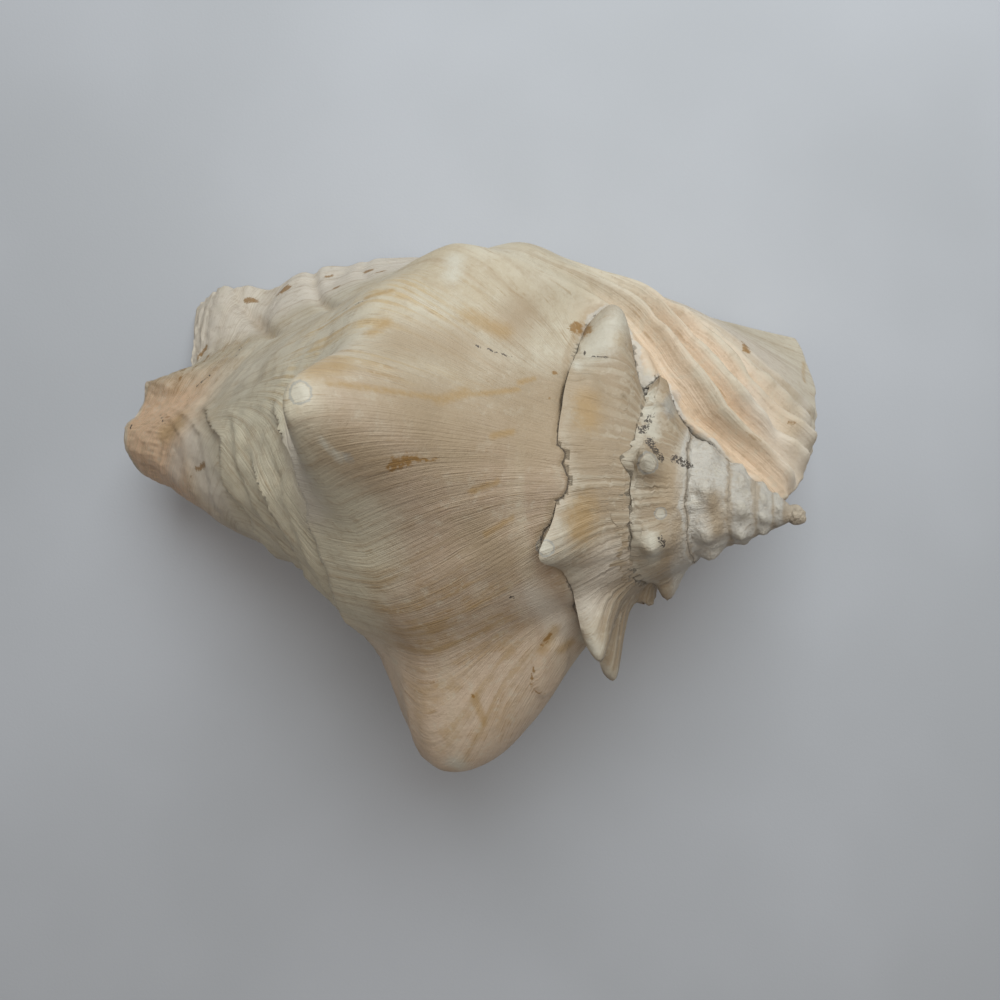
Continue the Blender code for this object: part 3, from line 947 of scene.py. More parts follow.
# %% Where the seams lie
# each older whorl is covered a little further, and the seams wave and bulge a little
OLD_SUTURE = 0.12
OLD_SUTURE_ANGLES = (-560.0, 0.0)
SEAM_WAVES = [(43.0, 0.010), (27.0, 0.006)]
SEAM_WAVES_TO = (-230.0, -150.0)
SEAM_BULGES = [(-343.0, 3.0, 7.0), (-412.0, 1.6, 9.0), (-296.0, -1.5, 12.0)]


def suture(angle):
    """How far down the axis the seam lies."""
    wave = sum(share * np.sin(2.0 * math.pi * angle / period) for period, share in SEAM_WAVES)
    wave = wave * fall(*SEAM_WAVES_TO, angle)
    bulge = sum(far * bell(angle, at, wide) for at, far, wide in SEAM_BULGES)
    return SUTURE * growth(angle) * (1.0 + wave + OLD_SUTURE * fall(*OLD_SUTURE_ANGLES, angle)) + bulge


print("last seam", suture(0.0).round(1), "mm down the axis")

# %% Radii of the inner whorls
COLUMELLA = 8.0
SEAM_DROP = 6.0
SEAM_DROP_TURN = (1.0, 1.05)
# the wall that the mouth's inner lip spreads over: its thickness, how far it sinks under the whorl's
# start, the angles over which it comes in, and the turn by which it is complete
PARIETAL_WALL = 1.2
PARIETAL_SINK = 6.0
PARIETAL_START = (-176.0, -164.0)
PARIETAL_AHEAD = (95.0, 165.0)
PARIETAL_BEHIND = (-140.0, -40.0)
PARIETAL_TURN = (1.0, 1.15)


def free_radius(station, angle, turn):
    whorl = growth(angle) * profile(station)
    within = np.where(station < STATION[-1], whorl, COLUMELLA)
    free = np.where(turn <= 1.0, whorl, np.maximum(within, COLUMELLA))
    return free - SEAM_DROP * growth(angle) * smoothstep(*SEAM_DROP_TURN, turn)


def sheet_radius(s, angle):
    g = growth(angle)
    lower = SHOULDER + (s - SHOULDER * g) * (SHELL_END - SHOULDER) / (SHELL_END - SHOULDER * g)
    station = np.where(s < SHOULDER * g, s / g, lower)
    return body_radius(np.clip(station, STATION[0], STATION[-1]), angle)


def parietal_radius(free, s, angle, turn):
    """Radius of the wall inside the last whorl, which swells to meet that whorl's own sheet."""
    azimuth = angle + 360.0
    covered = sheet_radius(s, np.where(azimuth < 0.0, azimuth, azimuth - 360.0))
    thickness = PARIETAL_WALL - PARIETAL_SINK * smoothstep(*PARIETAL_START, azimuth)
    thickness = np.where(azimuth > 0.0, PARIETAL_WALL, thickness)
    share = np.where(azimuth > 0.0, smoothstep(*PARIETAL_AHEAD, azimuth), fall(*PARIETAL_BEHIND, azimuth))
    share = share * smoothstep(*PARIETAL_TURN, turn)
    return free + share * (covered + thickness - free)


print("columella", COLUMELLA, "mm")

# %% The spire's own relief: crust on the oldest whorls, lumps and ribs on the others
ENCRUSTED = (-1050.0, -800.0)
CRUST = [(5.0, 1.3, 41), (2.4, 0.9, 42), (1.2, 0.5, 43)]
WHORL_LUMPS = [(12.0, 0.5, 44), (5.0, 0.22, 45)]
WHORL_RIBS = [(2.0, 2.5, 0.16, 46), (4.5, 2.0, 0.26, 47), (10.0, 1.5, 0.35, 48)]
RELIEF_ENDS = (1.1, 1.3)


def spire_relief(points, angle, turn):
    crust = fall(*ENCRUSTED, angle)
    lift = crust * lumpy(points, CRUST) + (1.0 - crust) * lumpy(points, WHORL_LUMPS)
    lift = lift + (1.0 - crust) * ribbed(angle, turn, WHORL_RIBS)
    return lift * fall(*RELIEF_ENDS, turn) * np.minimum(growth(angle + 360.0), 1.0)


print("crust up to", sum(height for _, height, _ in CRUST), "mm")

# %% Points of the spire, the parietal wall and the columella
CORE_END = -180.0
FOOT_GAP = 3.0
FOOT_LENGTH = 6.0
FOOT_TAPER = 0.85
END_SOFTNESS = 7.0
# the worn apex: least radius and where it ends, the share that is gone and the angles where it fades
APEX_RADIUS, APEX_RADIUS_TO = 3.0, (8.0, 20.0)
APEX_WEAR, APEX_WEAR_TO = 0.08, (-1080.0, -880.0)


def core_points(angle, turn):
    later = (turn >= 1.0 - 1e-9) & (angle <= CORE_END - 360.0 + 1e-6)
    angle, turn = np.where(later, angle + 360.0, angle), np.where(later, turn - 1.0, turn)
    end = SHELL_END - FOOT_GAP
    free = suture(angle + 360.0 * turn)
    s = -END_SOFTNESS * np.log(np.exp(-free / END_SOFTNESS) + math.exp(-end / END_SOFTNESS))
    station = s / growth(angle)
    r = parietal_radius(free_radius(station, angle, turn), s, angle, turn)
    r = r * (1.0 - FOOT_TAPER * smoothstep(end - FOOT_LENGTH, end, s))
    r = np.maximum(r, APEX_RADIUS * fall(*APEX_RADIUS_TO, s))
    r = r * (1.0 - APEX_WEAR * fall(*APEX_WEAR_TO, angle))
    points = place(s, r, angle) + spine_offset(SPIRE_SPINES, angle, station)
    return points + spire_relief(points, angle, turn)[..., None] * radial(angle), station


# %% Bands of the spire
TURN_STEPS = 180
BAND_ROWS = 24
FOOT_TURNS = 5.25


def band(name, first, last, steps, turns, rows):
    angle = np.linspace(first, last, steps + 1)[:, None]
    turn = np.linspace(0.0, turns, rows + 1)[None, :]
    angle, turn = angle + 0.0 * turn, turn + 0.0 * angle
    points, station = core_points(angle, turn)
    return grid_mesh(name, points), points, angle, turn, station


core_start, core_mid = CORE_END - 360.0 * TURNS, CORE_END - 360.0
spire, *spire_grid = band("spire", core_start, core_mid, TURN_STEPS * (TURNS - 1), 1.0, BAND_ROWS)
pillar, *pillar_grid = band("pillar", core_mid, CORE_END, TURN_STEPS, FOOT_TURNS, int(BAND_ROWS * FOOT_TURNS))
core = welded([spire, pillar], WELD)

# %% Close the apex and the foot
APEX_REACH, FOOT_REACH = 12.0, 60.0
APEX_TIP = 1.5


def cap(piece, centre, tip, reach):
    """Closes the open edge near a centre by a fan of faces that meet at a tip, all in millimetres."""
    open_vertices(piece)
    middle = (np.asarray(centre) - MIDDLE) * MM
    for vertex in piece.data.vertices:
        if vertex.select and math.dist(vertex.co, middle) > reach * MM:
            vertex.select = False
    for edge in piece.data.edges:
        edge.select = all(piece.data.vertices[k].select for k in edge.vertices)
    with editing(piece, None):
        bpy.ops.mesh.extrude_edges_move()
        bpy.ops.mesh.merge(type="CENTER")
    for vertex in piece.data.vertices:
        if vertex.select:
            vertex.co = (np.asarray(tip) - MIDDLE) * MM
    return sum(vertex.select for vertex in piece.data.vertices)


foot = pillar_grid[0][:, -1].mean(axis=0)
fans = cap(core, APEX, APEX + APEX_TIP * ALONG, APEX_REACH), cap(core, foot, foot, FOOT_REACH)
with editing(core):
    bpy.ops.mesh.normals_make_consistent(inside=False)
print("fans", fans, "open vertices", open_vertices(core))

# %% [markdown]
# ### One closed shell
#
# The apex ends in a small round nub, an encrusted lump made from a sphere. Nub, spire and sheet overlap,
# so a Boolean joins them, and a cut at the board's height gives the worn flats that the shell stands on.

# %% The nub, and the union
NUB_PLACE = 3.2
NUB_RADIUS = 2.7
NUB_LUMPS = [(0.7, 0.16, 61), (0.3, 0.07, 62)]


def modified(piece, name, kind, **settings):
    """Adds a modifier with its settings and applies it."""
    bpy.ops.object.select_all(action="DESELECT")
    piece.select_set(True)
    bpy.context.view_layer.objects.active = piece
    modifier = piece.modifiers.new(name, kind)
    for key, value in settings.items():
        setattr(modifier, key, value)
    bpy.ops.object.modifier_apply(modifier=name)


bpy.ops.object.select_all(action="DESELECT")
bpy.ops.mesh.primitive_ico_sphere_add(subdivisions=5, radius=NUB_RADIUS * MM, location=(0.0, 0.0, 0.0))
nub = bpy.context.active_object
way = vertex_array(nub, "co") / (NUB_RADIUS * MM)
bulge = 1.0 + lumpy(way, NUB_LUMPS)[:, None]
nub_points = (APEX + NUB_PLACE * ALONG - MIDDLE + NUB_RADIUS * bulge * way) * MM
nub.data.vertices.foreach_set("co", nub_points.ravel())
nub.data.update()
modified(core, "nub", "BOOLEAN", operation="UNION", solver="MANIFOLD", object=nub)
modified(body, "spire", "BOOLEAN", operation="UNION", solver="MANIFOLD", object=core)
bpy.data.objects.remove(core)
bpy.data.objects.remove(nub)
with editing(body):
    bpy.ops.mesh.bisect(plane_co=(0.0, 0.0, 0.0), plane_no=(0.0, 0.0, 1.0), use_fill=True, clear_inner=True)
body.name = body.data.name = "shell"
print("union", len(body.data.polygons), "faces")

# %% [markdown]
# ### Growth coordinates on the finished mesh
#
# The union keeps the vertices of both meshes, so each one can be looked up again among the points that
# it came from. What isn't found there is new: it lies on the seam where the last whorl covers the spire.

# %% All points that the mesh came from, and their growth coordinates
OUTSIDE, INSIDE, SPIRE = 0.0, 1.0, 2.0
NO_SEAM = 99.0


def listed(*grids):
    """Grids one after another, as one list of points or of numbers."""
    lists = [np.asarray(grid, float).reshape(grid.shape[0] * grid.shape[1], -1) for grid in grids]
    return np.concatenate(lists)


sheet_row = u_rows[:, None] + 0.0 * sheet_station
sheet_v = v_rows[None, :] + 0.0 * sheet_station
origin = listed(outer, inner, spire_grid[0], pillar_grid[0])
grown = listed(sheet_row, sheet_row, spire_grid[1], pillar_grid[1])[:, 0]
run = listed(sheet_v, sheet_v, spire_grid[2], pillar_grid[2])[:, 0]
station_of = listed(sheet_station, sheet_station, spire_grid[3], pillar_grid[3])[:, 0]
wall_size = sheet_station.size
side = np.repeat([OUTSIDE, INSIDE, SPIRE], [wall_size, wall_size, len(origin) - 2 * wall_size])
spire_seam, pillar_seam = run_lengths(spire_grid[0], 1), run_lengths(pillar_grid[0], 1)
spire_seam = np.minimum(spire_seam, spire_seam[:, -1:] - spire_seam)
own_seam = np.concatenate([np.full(2 * wall_size, NO_SEAM), spire_seam.ravel(), pillar_seam.ravel()])
print(len(origin), "points to look up")

# %% Look up where each vertex came from
def tree_of(points):
    tree = kdtree.KDTree(len(points))
    for k, point in enumerate(points):
        tree.insert(point, k)
    tree.balance()
    return tree


def nearest(tree, points):
    found = [tree.find(point)[1:] for point in points]
    return np.array([k for k, _ in found]), np.array([gap for _, gap in found])


def looked_up():
    """Places of the body's vertices in the law's frame, the point each came from, and how far off it is."""
    spots = vertex_array(body, "co") / MM + MIDDLE
    return spots, *nearest(origin_tree, spots)


origin_tree = tree_of(origin)
spots, source, gap = looked_up()
print("new vertices", int((gap > 0.01).sum()), "of", len(spots))

# %% Thin out what is out of sight, and mend the few edges that don't join exactly two faces
MOST_TRIANGLES = 196000
COVERED_RUN = 1.02
MEND_ROUNDS = 4

hidden = (side[source] == INSIDE) | ((side[source] == SPIRE) & (run[source] > COVERED_RUN))
group = body.vertex_groups.new(name="inside")
group.add([int(k) for k in np.flatnonzero(hidden)], 1.0, "REPLACE")
body.data.calc_loop_triangles()
thinning = {"ratio": MOST_TRIANGLES / len(body.data.loop_triangles), "vertex_group": "inside"}
modified(body, "thin", "DECIMATE", decimate_type="COLLAPSE", use_collapse_triangulate=True, **thinning)
body.vertex_groups.clear()
# the vertices of such an edge go, and the gaps that they leave are filled
with editing(body):
    for _ in range(MEND_ROUNDS):
        bpy.ops.mesh.select_all(action="DESELECT")
        bpy.ops.mesh.select_non_manifold()
        bpy.ops.mesh.delete(type="VERT")
        bpy.ops.mesh.select_non_manifold()
        bpy.ops.mesh.fill_holes(sides=0)
        bpy.ops.mesh.quads_convert_to_tris()
    bpy.ops.mesh.select_all(action="SELECT")
    bpy.ops.mesh.normals_make_consistent(inside=False)
print(len(body.data.polygons), "faces after thinning,", open_vertices(body), "open vertices")

# %% Growth coordinates of each vertex that is left
spots, source, gap = looked_up()
angle_at, run_at, station_at, side_at = grown[source], run[source], station_of[source], side[source]
sheet, spire_side = side_at == OUTSIDE, side_at == SPIRE
on_axis = angle_at + 360.0 * np.minimum(run_at, 1.0)
print(int(sheet.sum()), "vertices outside on the sheet,", int(spire_side.sum()), "on the spire")

# %% [markdown]
# ### Seams, grooves and crests
#
# A thin dark line follows every seam, partly the seam's own fine fissure and partly painted crevice shade.
# The union's own vertices mark the last one, and the others run along the edges of the spire's band. Each
# vertex gets its distance to the nearest seam, and the wall sinks a little there.

# %% Distance to the nearest seam
SEAM_FAR = 6.0
GROOVE_DEPTH = 0.45
GROOVE_WIDTH = 0.6
NEW_GAP, OFF_FLOOR = 0.05, 2.0
OVERGROWN = (-1000.0, -800.0)

new_spots = spots[(gap > NEW_GAP) & (side_at != INSIDE) & (spots[:, 2] > OFF_FLOOR)]
_, union_seam = nearest(tree_of(new_spots), spots)
seam = np.minimum(np.where(spire_side, own_seam[source], SEAM_FAR), union_seam)
seam = np.minimum(seam, SEAM_FAR)
seam = SEAM_FAR + np.where(spire_side, smoothstep(*OVERGROWN, on_axis), 1.0) * (seam - SEAM_FAR)
groove = GROOVE_DEPTH * bell(seam, 0.0, GROOVE_WIDTH)
spots = (spots - groove[:, None] * vertex_array(body, "normal") - MIDDLE) * MM
spots = np.clip(spots, np.array(cad_low), np.array(cad_high)) / MM
body.data.vertices.foreach_set("co", (spots * MM).ravel())
body.data.update()
print("seam vertices", len(new_spots))

# %% Means over neighbouring vertices
KEPT_SHARE = 0.4

ends = np.empty(2 * len(body.data.edges), np.int32)
body.data.edges.foreach_get("vertices", ends)
ends = ends.reshape(-1, 2)
counts = np.maximum(np.bincount(ends.ravel(), minlength=len(spots)), 1)


def around(values):
    """Mean of each vertex's neighbours."""
    total = np.zeros_like(values)
    np.add.at(total, ends[:, 0], values[ends[:, 1]])
    np.add.at(total, ends[:, 1], values[ends[:, 0]])
    return total / counts.reshape(-1, *[1] * (values.ndim - 1))


def blended(values, kept=KEPT_SHARE):
    return kept * values + (1.0 - kept) * around(values)


print(len(ends), "edges")

# %% Relax the spire's few folded vertices
BROAD_ROUNDS = 4
FOLDED = 0.7

normals = vertex_array(body, "normal")
broad = normals
for _ in range(BROAD_ROUNDS):
    broad = unit(blended(broad))
folded = ((normals * broad).sum(axis=1) < FOLDED) & spire_side & (run_at < 1.0)
for _ in range(BROAD_ROUNDS):
    spots[folded] = around(spots)[folded]
body.data.vertices.foreach_set("co", (spots * MM).ravel())
body.data.update()
print("folded vertices relaxed", int(folded.sum()))

# %% How convex the wall is
CREST_ROUNDS, CREST_SPIRE_ROUNDS = 7, 24
LEAST_EDGE = 0.2

reach = np.linalg.norm(spots[ends[:, 0]] - spots[ends[:, 1]], axis=1)
reach = np.bincount(ends.ravel(), np.repeat(reach, 2), len(spots)) / counts
bent = ((spots - around(spots)) * vertex_array(body, "normal")).sum(axis=1)
bent = bent / np.maximum(reach, LEAST_EDGE) ** 2
for k in range(CREST_SPIRE_ROUNDS):
    bent = blended(bent)
    if k == CREST_ROUNDS:
        sheet_bent = bent
bent = np.where(spire_side, bent, sheet_bent)
print("convexity from", bent.min().round(2), "to", bent.max().round(2))

# %% [markdown]
# ### Zones
#
# Colour follows growth: the wing is peach, the canal's tip salmon, the neck cool and greenish, the band
# behind each seam whitish, the apex grey and encrusted. Each zone is a mask between 0 and 1, worked out
# from the vertex's growth angle, its run from the seam to the canal, and its station. They could be
# painted by hand too, but a window in growth coordinates follows the whorl by itself.

# %% Zones in growth coordinates
FLANK_ANGLES = [-60.0, -40.0, -25.0, -10.0, 6.0, 20.0]
FLANK_STATIONS = [114.0, 108.0, 100.0, 96.0, 102.0, 114.0]
OLDEST_TO = (-640.0, -590.0)


def window(value, low, high, soft):
    """A mask between two values, with soft ends."""
    return smoothstep(low - soft, low + soft, value) * fall(high - soft, high + soft, value)


flank = np.interp(angle_at, FLANK_ANGLES, FLANK_STATIONS)
oldest = fall(*OLDEST_TO, on_axis)
ZONES = {
    "mouth": np.where(spire_side, smoothstep(1.08, 1.25, run_at), side_at == INSIDE),
    "peach": sheet * window(angle_at, 67.0, 102.0, 7.0) * (1.0 - smoothstep(0.22, 0.38, run_at)),
    "blush": sheet * window(angle_at, 100.0, 130.0, 8.0) * (1.0 - smoothstep(0.34, 0.6, run_at)),
    "lip": sheet * smoothstep(90.0, 114.0, angle_at) * smoothstep(0.24, 0.45, run_at),
    "salmon": sheet * smoothstep(176.0, 206.0, station_at) * (1.0 - smoothstep(45.0, 88.0, angle_at)),
    "torn": sheet * window(angle_at, 52.0, 104.0, 7.0) * smoothstep(0.84, 0.9, run_at),
    "notch": sheet * smoothstep(186.0, 200.0, station_at) * (1.0 - smoothstep(98.0, 110.0, angle_at)),
    "cool": sheet * window(station_at, flank, 168.0, 7.0) * window(angle_at, -60.0, 26.0, 14.0),
    "warm": sheet * (1.0 - smoothstep(-7.0, 7.0, station_at - flank)) * window(angle_at, -86.0, 14.0, 14.0),
    # brownish zone behind the crest near the seam: partly the wall's tone, partly painted shade
    "tan": sheet * window(angle_at, -5.0, 44.0, 10.0) * (1.0 - smoothstep(70.0, 92.0, station_at)),
    "rim": sheet * smoothstep(78.0, 92.0, angle_at) * (1.0 - smoothstep(0.0, 0.13, run_at)),
    "lobe": sheet * window(angle_at, -120.0, -62.0, 16.0) * window(station_at, 66.0, 130.0, 10.0),
    "ochre": sheet * window(angle_at, -85.0, -28.0, 12.0) * window(station_at, 76.0, 108.0, 8.0),
    "gold": sheet * window(angle_at, 14.0, 56.0, 10.0) * window(station_at, 86.0, 140.0, 12.0),
    "ramp": spire_side * 1.0,
    "band": spire_side * smoothstep(0.72, 0.88, run_at) * (1.0 - smoothstep(1.1, 1.2, run_at)),
    "crust": np.where(sheet, smoothstep(58.0, 70.0, angle_at), spire_side * oldest),
    "grey": spire_side * oldest,
}
print(len(ZONES), "zones")

# %% [markdown]
# ### Marks
#
# Stains, chips and soot came later and lie anywhere, as do lighter patches of painted light and brownish
# patches that are partly stain and partly painted shade, so each of them is listed as a stroke between two
# points seen from above. A mark is stored as a distance and not as a colour, so that noise in the material
# can fray its edge finer than the mesh is.

# %% Marks, in millimetres from above
# each stroke: x and y of one end, x and y of the other, and its half-width; a dot's ends are the same
MARKS = {
    "brown": [
        (-17.0, 1.5, -13.0, 3.5, 1.2), (-13.0, 3.5, -7.0, 3.5, 0.35), (-90.5, 4.0, -87.5, 5.0, 1.1),
        (-94.0, 1.5, -93.5, 1.5, 0.5), (-80.0, 75.0, -76.0, 76.5, 1.5), (-93.0, 73.0, -90.0, 73.0, 1.2),
        (-60.0, 80.0, -57.5, 80.5, 0.8), (-52.0, 69.5, -50.0, 70.0, 0.7), (-42.5, 78.0, -39.5, 78.0, 0.8),
        (-36.0, 74.0, -33.0, 74.5, 0.6), (-103.0, 52.0, -106.5, 44.5, 0.6), (-106.5, 44.5, -106.0, 36.0, 0.6),
        (-99.0, 48.0, -102.0, 40.0, 0.4), (29.0, 43.0, 31.0, 43.0, 1.9), (96.0, 17.5, 97.0, 17.0, 1.0),
        (86.0, 45.0, 86.5, 42.0, 1.1), (78.0, 28.5, 78.5, 28.5, 0.6), (22.0, 28.0, 22.5, 28.0, 0.5),
        (20.5, 20.5, 20.5, 20.5, 0.4), (17.5, -54.5, 16.5, -59.5, 0.4), (16.5, -59.5, 17.5, -63.0, 0.5),
        (17.5, -63.0, 21.0, -64.0, 0.4), (22.0, -44.5, 19.5, -48.0, 0.5), (-0.5, -62.5, -0.5, -63.5, 0.5),
    ],
    "orange": [
        (40.0, 39.0, 40.5, 40.0, 1.8), (0.0, -62.5, 3.0, -72.0, 1.0), (23.5, -43.0, 19.5, -49.5, 1.3),
        (28.5, -48.0, 25.0, -50.0, 1.2), (-28.5, 47.5, -20.5, 49.5, 0.5),
        (-1.0, 43.0, 8.5, 39.5, 2.2), (-24.5, 35.5, -21.5, 39.0, 1.5), (-6.5, 17.5, -1.0, 20.5, 1.2),
        (124.0, 46.5, 117.5, 37.0, 0.8), (29.0, -7.5, 28.0, -13.5, 3.5), (30.0, 20.5, 30.5, 15.0, 3.0),
        (-28.0, 18.5, -7.5, 18.0, 0.7), (-7.5, 18.0, 12.0, 22.5, 0.7), (5.5, 9.5, 10.5, 11.0, 0.7),
        (0.5, -4.0, 7.0, -1.5, 0.7), (12.5, 24.5, 16.5, 26.0, 0.6), (4.0, -14.5, 10.5, -10.5, 0.7),
        (-32.0, 21.5, -28.0, 23.0, 2.5), (-106.0, 16.0, -100.0, 20.0, 3.0),
    ],
    "dark": [
        (45.0, 12.5, 48.5, 16.5, 1.0), (47.0, 9.5, 49.5, 5.0, 1.1), (53.5, 5.0, 58.0, 3.0, 1.0),
        (26.5, 28.5, 26.5, 28.5, 0.45), (-29.0, 6.0, -28.5, 6.0, 0.5), (10.5, -32.0, 11.0, -32.0, 0.5),
        (12.0, -49.0, 12.0, -49.0, 0.4), (-123.5, 21.0, -123.5, 19.5, 0.3), (-119.0, 21.0, -119.0, 19.0, 0.3),
        (-115.5, 12.5, -115.5, 11.0, 0.25), (-111.0, 23.5, -107.0, 20.0, 0.3),
        (-92.0, 37.5, -99.0, 33.0, 0.3),
        (-84.5, 48.5, -83.5, 43.5, 0.25), (-36.0, 46.0, -29.0, 46.5, 0.25), (0.0, 34.5, 10.5, 31.5, 0.3),
        (33.0, 33.5, 37.0, 33.0, 0.3), (31.0, 37.0, 31.0, 33.0, 0.3), (49.5, -16.5, 50.0, -17.5, 0.8),
    ],
    "white": [
        (28.5, 30.5, 28.5, 31.0, 1.4), (-27.0, 3.0, -26.5, 3.0, 0.9), (34.5, 37.0, 41.5, 44.5, 4.0),
        (-6.0, -85.5, -5.0, -86.5, 2.6), (46.5, -16.5, 48.5, -21.5, 2.2), (49.5, 29.5, 48.0, 12.0, 2.0),
        (-5.0, 61.0, -5.5, 56.0, 2.4), (33.0, -46.5, 33.5, -46.5, 2.2), (-30.0, 6.5, -27.0, 3.0, 0.7),
    ],
    "slate": [
        (-25.5, 3.5, -25.0, 2.5, 0.8), (54.0, 19.0, 57.0, 23.0, 2.2), (50.0, -10.0, 50.0, -10.0, 0.9),
    ],
    # brownish patches: partly a stain, partly painted shade on sides that lie in shade
    "stained": [
        (-17.5, 33.5, -4.0, 33.0, 6.0), (-8.0, 15.0, -4.0, 8.0, 9.0), (20.5, 20.0, 16.0, 8.0, 7.0),
        (10.0, 40.0, 14.0, 46.0, 5.0), (25.5, 24.0, 32.0, 21.0, 6.5), (30.5, 7.0, 27.0, 12.0, 4.0),
        (52.0, 1.0, 52.0, -8.0, 3.5), (54.0, -12.0, 52.5, -22.0, 3.0), (64.0, -6.0, 66.0, -14.0, 2.5),
        (-26.5, 4.5, -20.0, 2.0, 5.0), (7.5, -21.5, 2.0, -14.0, 5.0),
    ],
    # painted light: strokes that lighten places of the wall so that they look more brightly lit
    "bleached": [
        (82.0, 24.0, 93.0, 5.0, 4.0), (94.0, 0.0, 109.0, 26.0, 2.6), (-93.0, 13.0, -84.0, -6.0, 5.0),
        (-102.0, 4.0, -99.0, 9.0, 4.0), (-39.0, -8.0, -45.0, 9.0, 4.0), (16.0, -32.0, 26.0, -42.0, 4.0),
        (36.5, -22.0, 31.0, -34.0, 5.0),
    ],
}
# worn discs: x, y and radius
DISCS = [(-33.5, 16.0, 2.5), (19.0, -18.0, 2.2), (49.5, -9.5, 1.7), (45.5, 3.5, 2.8)]
print(sum(len(strokes) for strokes in MARKS.values()), "strokes and", len(DISCS), "discs")

# %% Distances to the marks
MARK_FAR = 3.0
UPPER_NORMAL = 0.02
DOT = 1e-6


def paint(name, values):
    layer = body.data.attributes.new(name, "FLOAT", "POINT")
    layer.data.foreach_set("value", np.asarray(values, np.float32))


def stroke_gap(points, x0, y0, x1, y1, width):
    """Distance from points to a stroke, as a share of its half-width."""
    start, way = np.array([x0, y0]), np.array([x1 - x0, y1 - y0])
    t = np.clip((points - start) @ way / max(way @ way, DOT), 0.0, 1.0)
    return np.linalg.norm(points - start - t[:, None] * way, axis=1) / width


def paint_mark(name, gaps):
    """Stores the least of some distances, on the upper side of the shell only."""
    paint(name, np.where(upper, np.minimum(np.min(gaps, axis=0), MARK_FAR), MARK_FAR))


upper = (broad[:, 2] > UPPER_NORMAL) & (side_at != INSIDE)
for kind, strokes in MARKS.items():
    paint_mark(kind, [stroke_gap(spots[:, :2], *stroke) for stroke in strokes])
paint_mark("disc", [np.hypot(spots[:, 0] - x, spots[:, 1] - y) / radius for x, y, radius in DISCS])
print(int(upper.sum()), "vertices on the upper side")

# %% Zones, seams, crests and growth coordinates as attributes
ZONE_ROUNDS = 3
ZONE_KEPT = 0.5
SPIRE_SWING = 10.0
SPIRE_SWIRL = [(16.0, 3.0, 71)]
SHEET_LENGTH, BAND_LENGTH = 180.0, 60.0

for zone, values in ZONES.items():
    values = np.asarray(values, float)
    for _ in range(ZONE_ROUNDS):
        values = blended(values, ZONE_KEPT)
    paint(zone, values)
paint("seam", seam)
paint("old_seam", np.minimum(own_seam[source], SEAM_FAR))
paint("crest", bent)
swirl = SPIRE_SWING * run_at + lumpy(spots, SPIRE_SWIRL)
drawn = angle_at + np.where(sheet, line_bend(angle_at, station_at), swirl)
reach_down = np.where(spire_side, BAND_LENGTH, SHEET_LENGTH) * run_at
lines = body.data.attributes.new("growth", "FLOAT_VECTOR", "POINT")
lines.data.foreach_set("vector", np.stack([drawn, reach_down, side_at], axis=1).astype(np.float32).ravel())
print(len(body.data.attributes), "attributes")

# %% [markdown]
# ## The shell's finish
#
# Outside, the shell is chalky and worn. Fine growth lines cross it from seam to canal, and colour lies
# along them in streaks. Each crest is painted paler and each hollow darker, partly as bleaching and dirt
# and partly as painted highlight and painted shade. The mouth is the part that stayed glossy, pink going
# to peach. The finish is built up as it came about: the wall's own colour, then growth lines, then wear and
# dirt, and each layer is a function that takes the colour so far; some layers also paint light and shade.

# %% Colours
CREAM = (0.47, 0.39, 0.27)
PALE = (0.54, 0.475, 0.36)
TAN = (0.36, 0.265, 0.165)
PEACH = (0.62, 0.47, 0.33)
APRICOT = (0.57, 0.395, 0.245)
BLUSH = (0.58, 0.495, 0.395)
SALMON = (0.70, 0.46, 0.285)
COOL = (0.58, 0.515, 0.375)
WARM = (0.415, 0.30, 0.205)
GOLD = (0.50, 0.35, 0.165)
ROSY = (0.56, 0.42, 0.30)
OCHRE = (0.37, 0.225, 0.08)
RAMP = (0.325, 0.245, 0.16)
CHALK = (0.55, 0.51, 0.415)
GREY = (0.53, 0.49, 0.425)
LIP = (0.64, 0.565, 0.47)
PINK = (0.80, 0.46, 0.36)
BROWN = (0.25, 0.125, 0.025)
UMBER = (0.13, 0.075, 0.035)
SOOT = (0.06, 0.045, 0.033)
SLATE = (0.28, 0.29, 0.28)
print("lightest", CHALK, "darkest", SOOT)

# %% Noises that all layers share
# noise in the wall: scale, detail and roughness
GRAINS = {
    "wide": (45.0, 3.0, 0.5),
    "patch": (140.0, 3.0, 0.6),
    "nick": (260.0, 2.0, 0.5),
    "mottle": (330.0, 3.0, 0.65),
    "grit": (900.0, 3.0, 0.6),
    "speckle": (2200.0, 1.0, 0.5),
}
# noise drawn out along growth: how fine it is across the lines and along them, detail and roughness
LINES = {
    "streak": (0.45, 0.025, 2.0, 0.5),
    "fine": (1.3, 0.05, 3.0, 0.6),
    "hair": (2.6, 0.10, 1.0, 0.5),
    "turns": (0.006, 0.16, 2.0, 0.5),
    "ribs": (0.42, 0.014, 0.0, 0.5),
}


def noises(shell):
    at = shell.place()
    found = {name: shell.grain(at, *grain) for name, grain in GRAINS.items()}
    for name, (across, along, detail, rough) in LINES.items():
        found[name] = shell.grain(shell.painted_vector("growth", (across, along, 1.0)), 1.0, detail, rough)
    return SimpleNamespace(**found)


print(len(GRAINS) + len(LINES), "noises")

# %% The wall's own colour, zone by zone
# zone, its colour and how strongly it covers; a patchy noise takes part of that away
# the brownish zone near the seam is partly the wall's tone and partly painted shade
ZONE_TONES = [
    ("tan", TAN, 0.8), ("warm", WARM, 0.85), ("cool", COOL, 0.85), ("peach", PEACH, 0.95),
    ("blush", BLUSH, 0.85), ("rim", PALE, 0.8), ("lobe", ROSY, 0.85), ("salmon", SALMON, 0.9),
    ("lip", LIP, 0.85),
]
PATCHY = 0.5


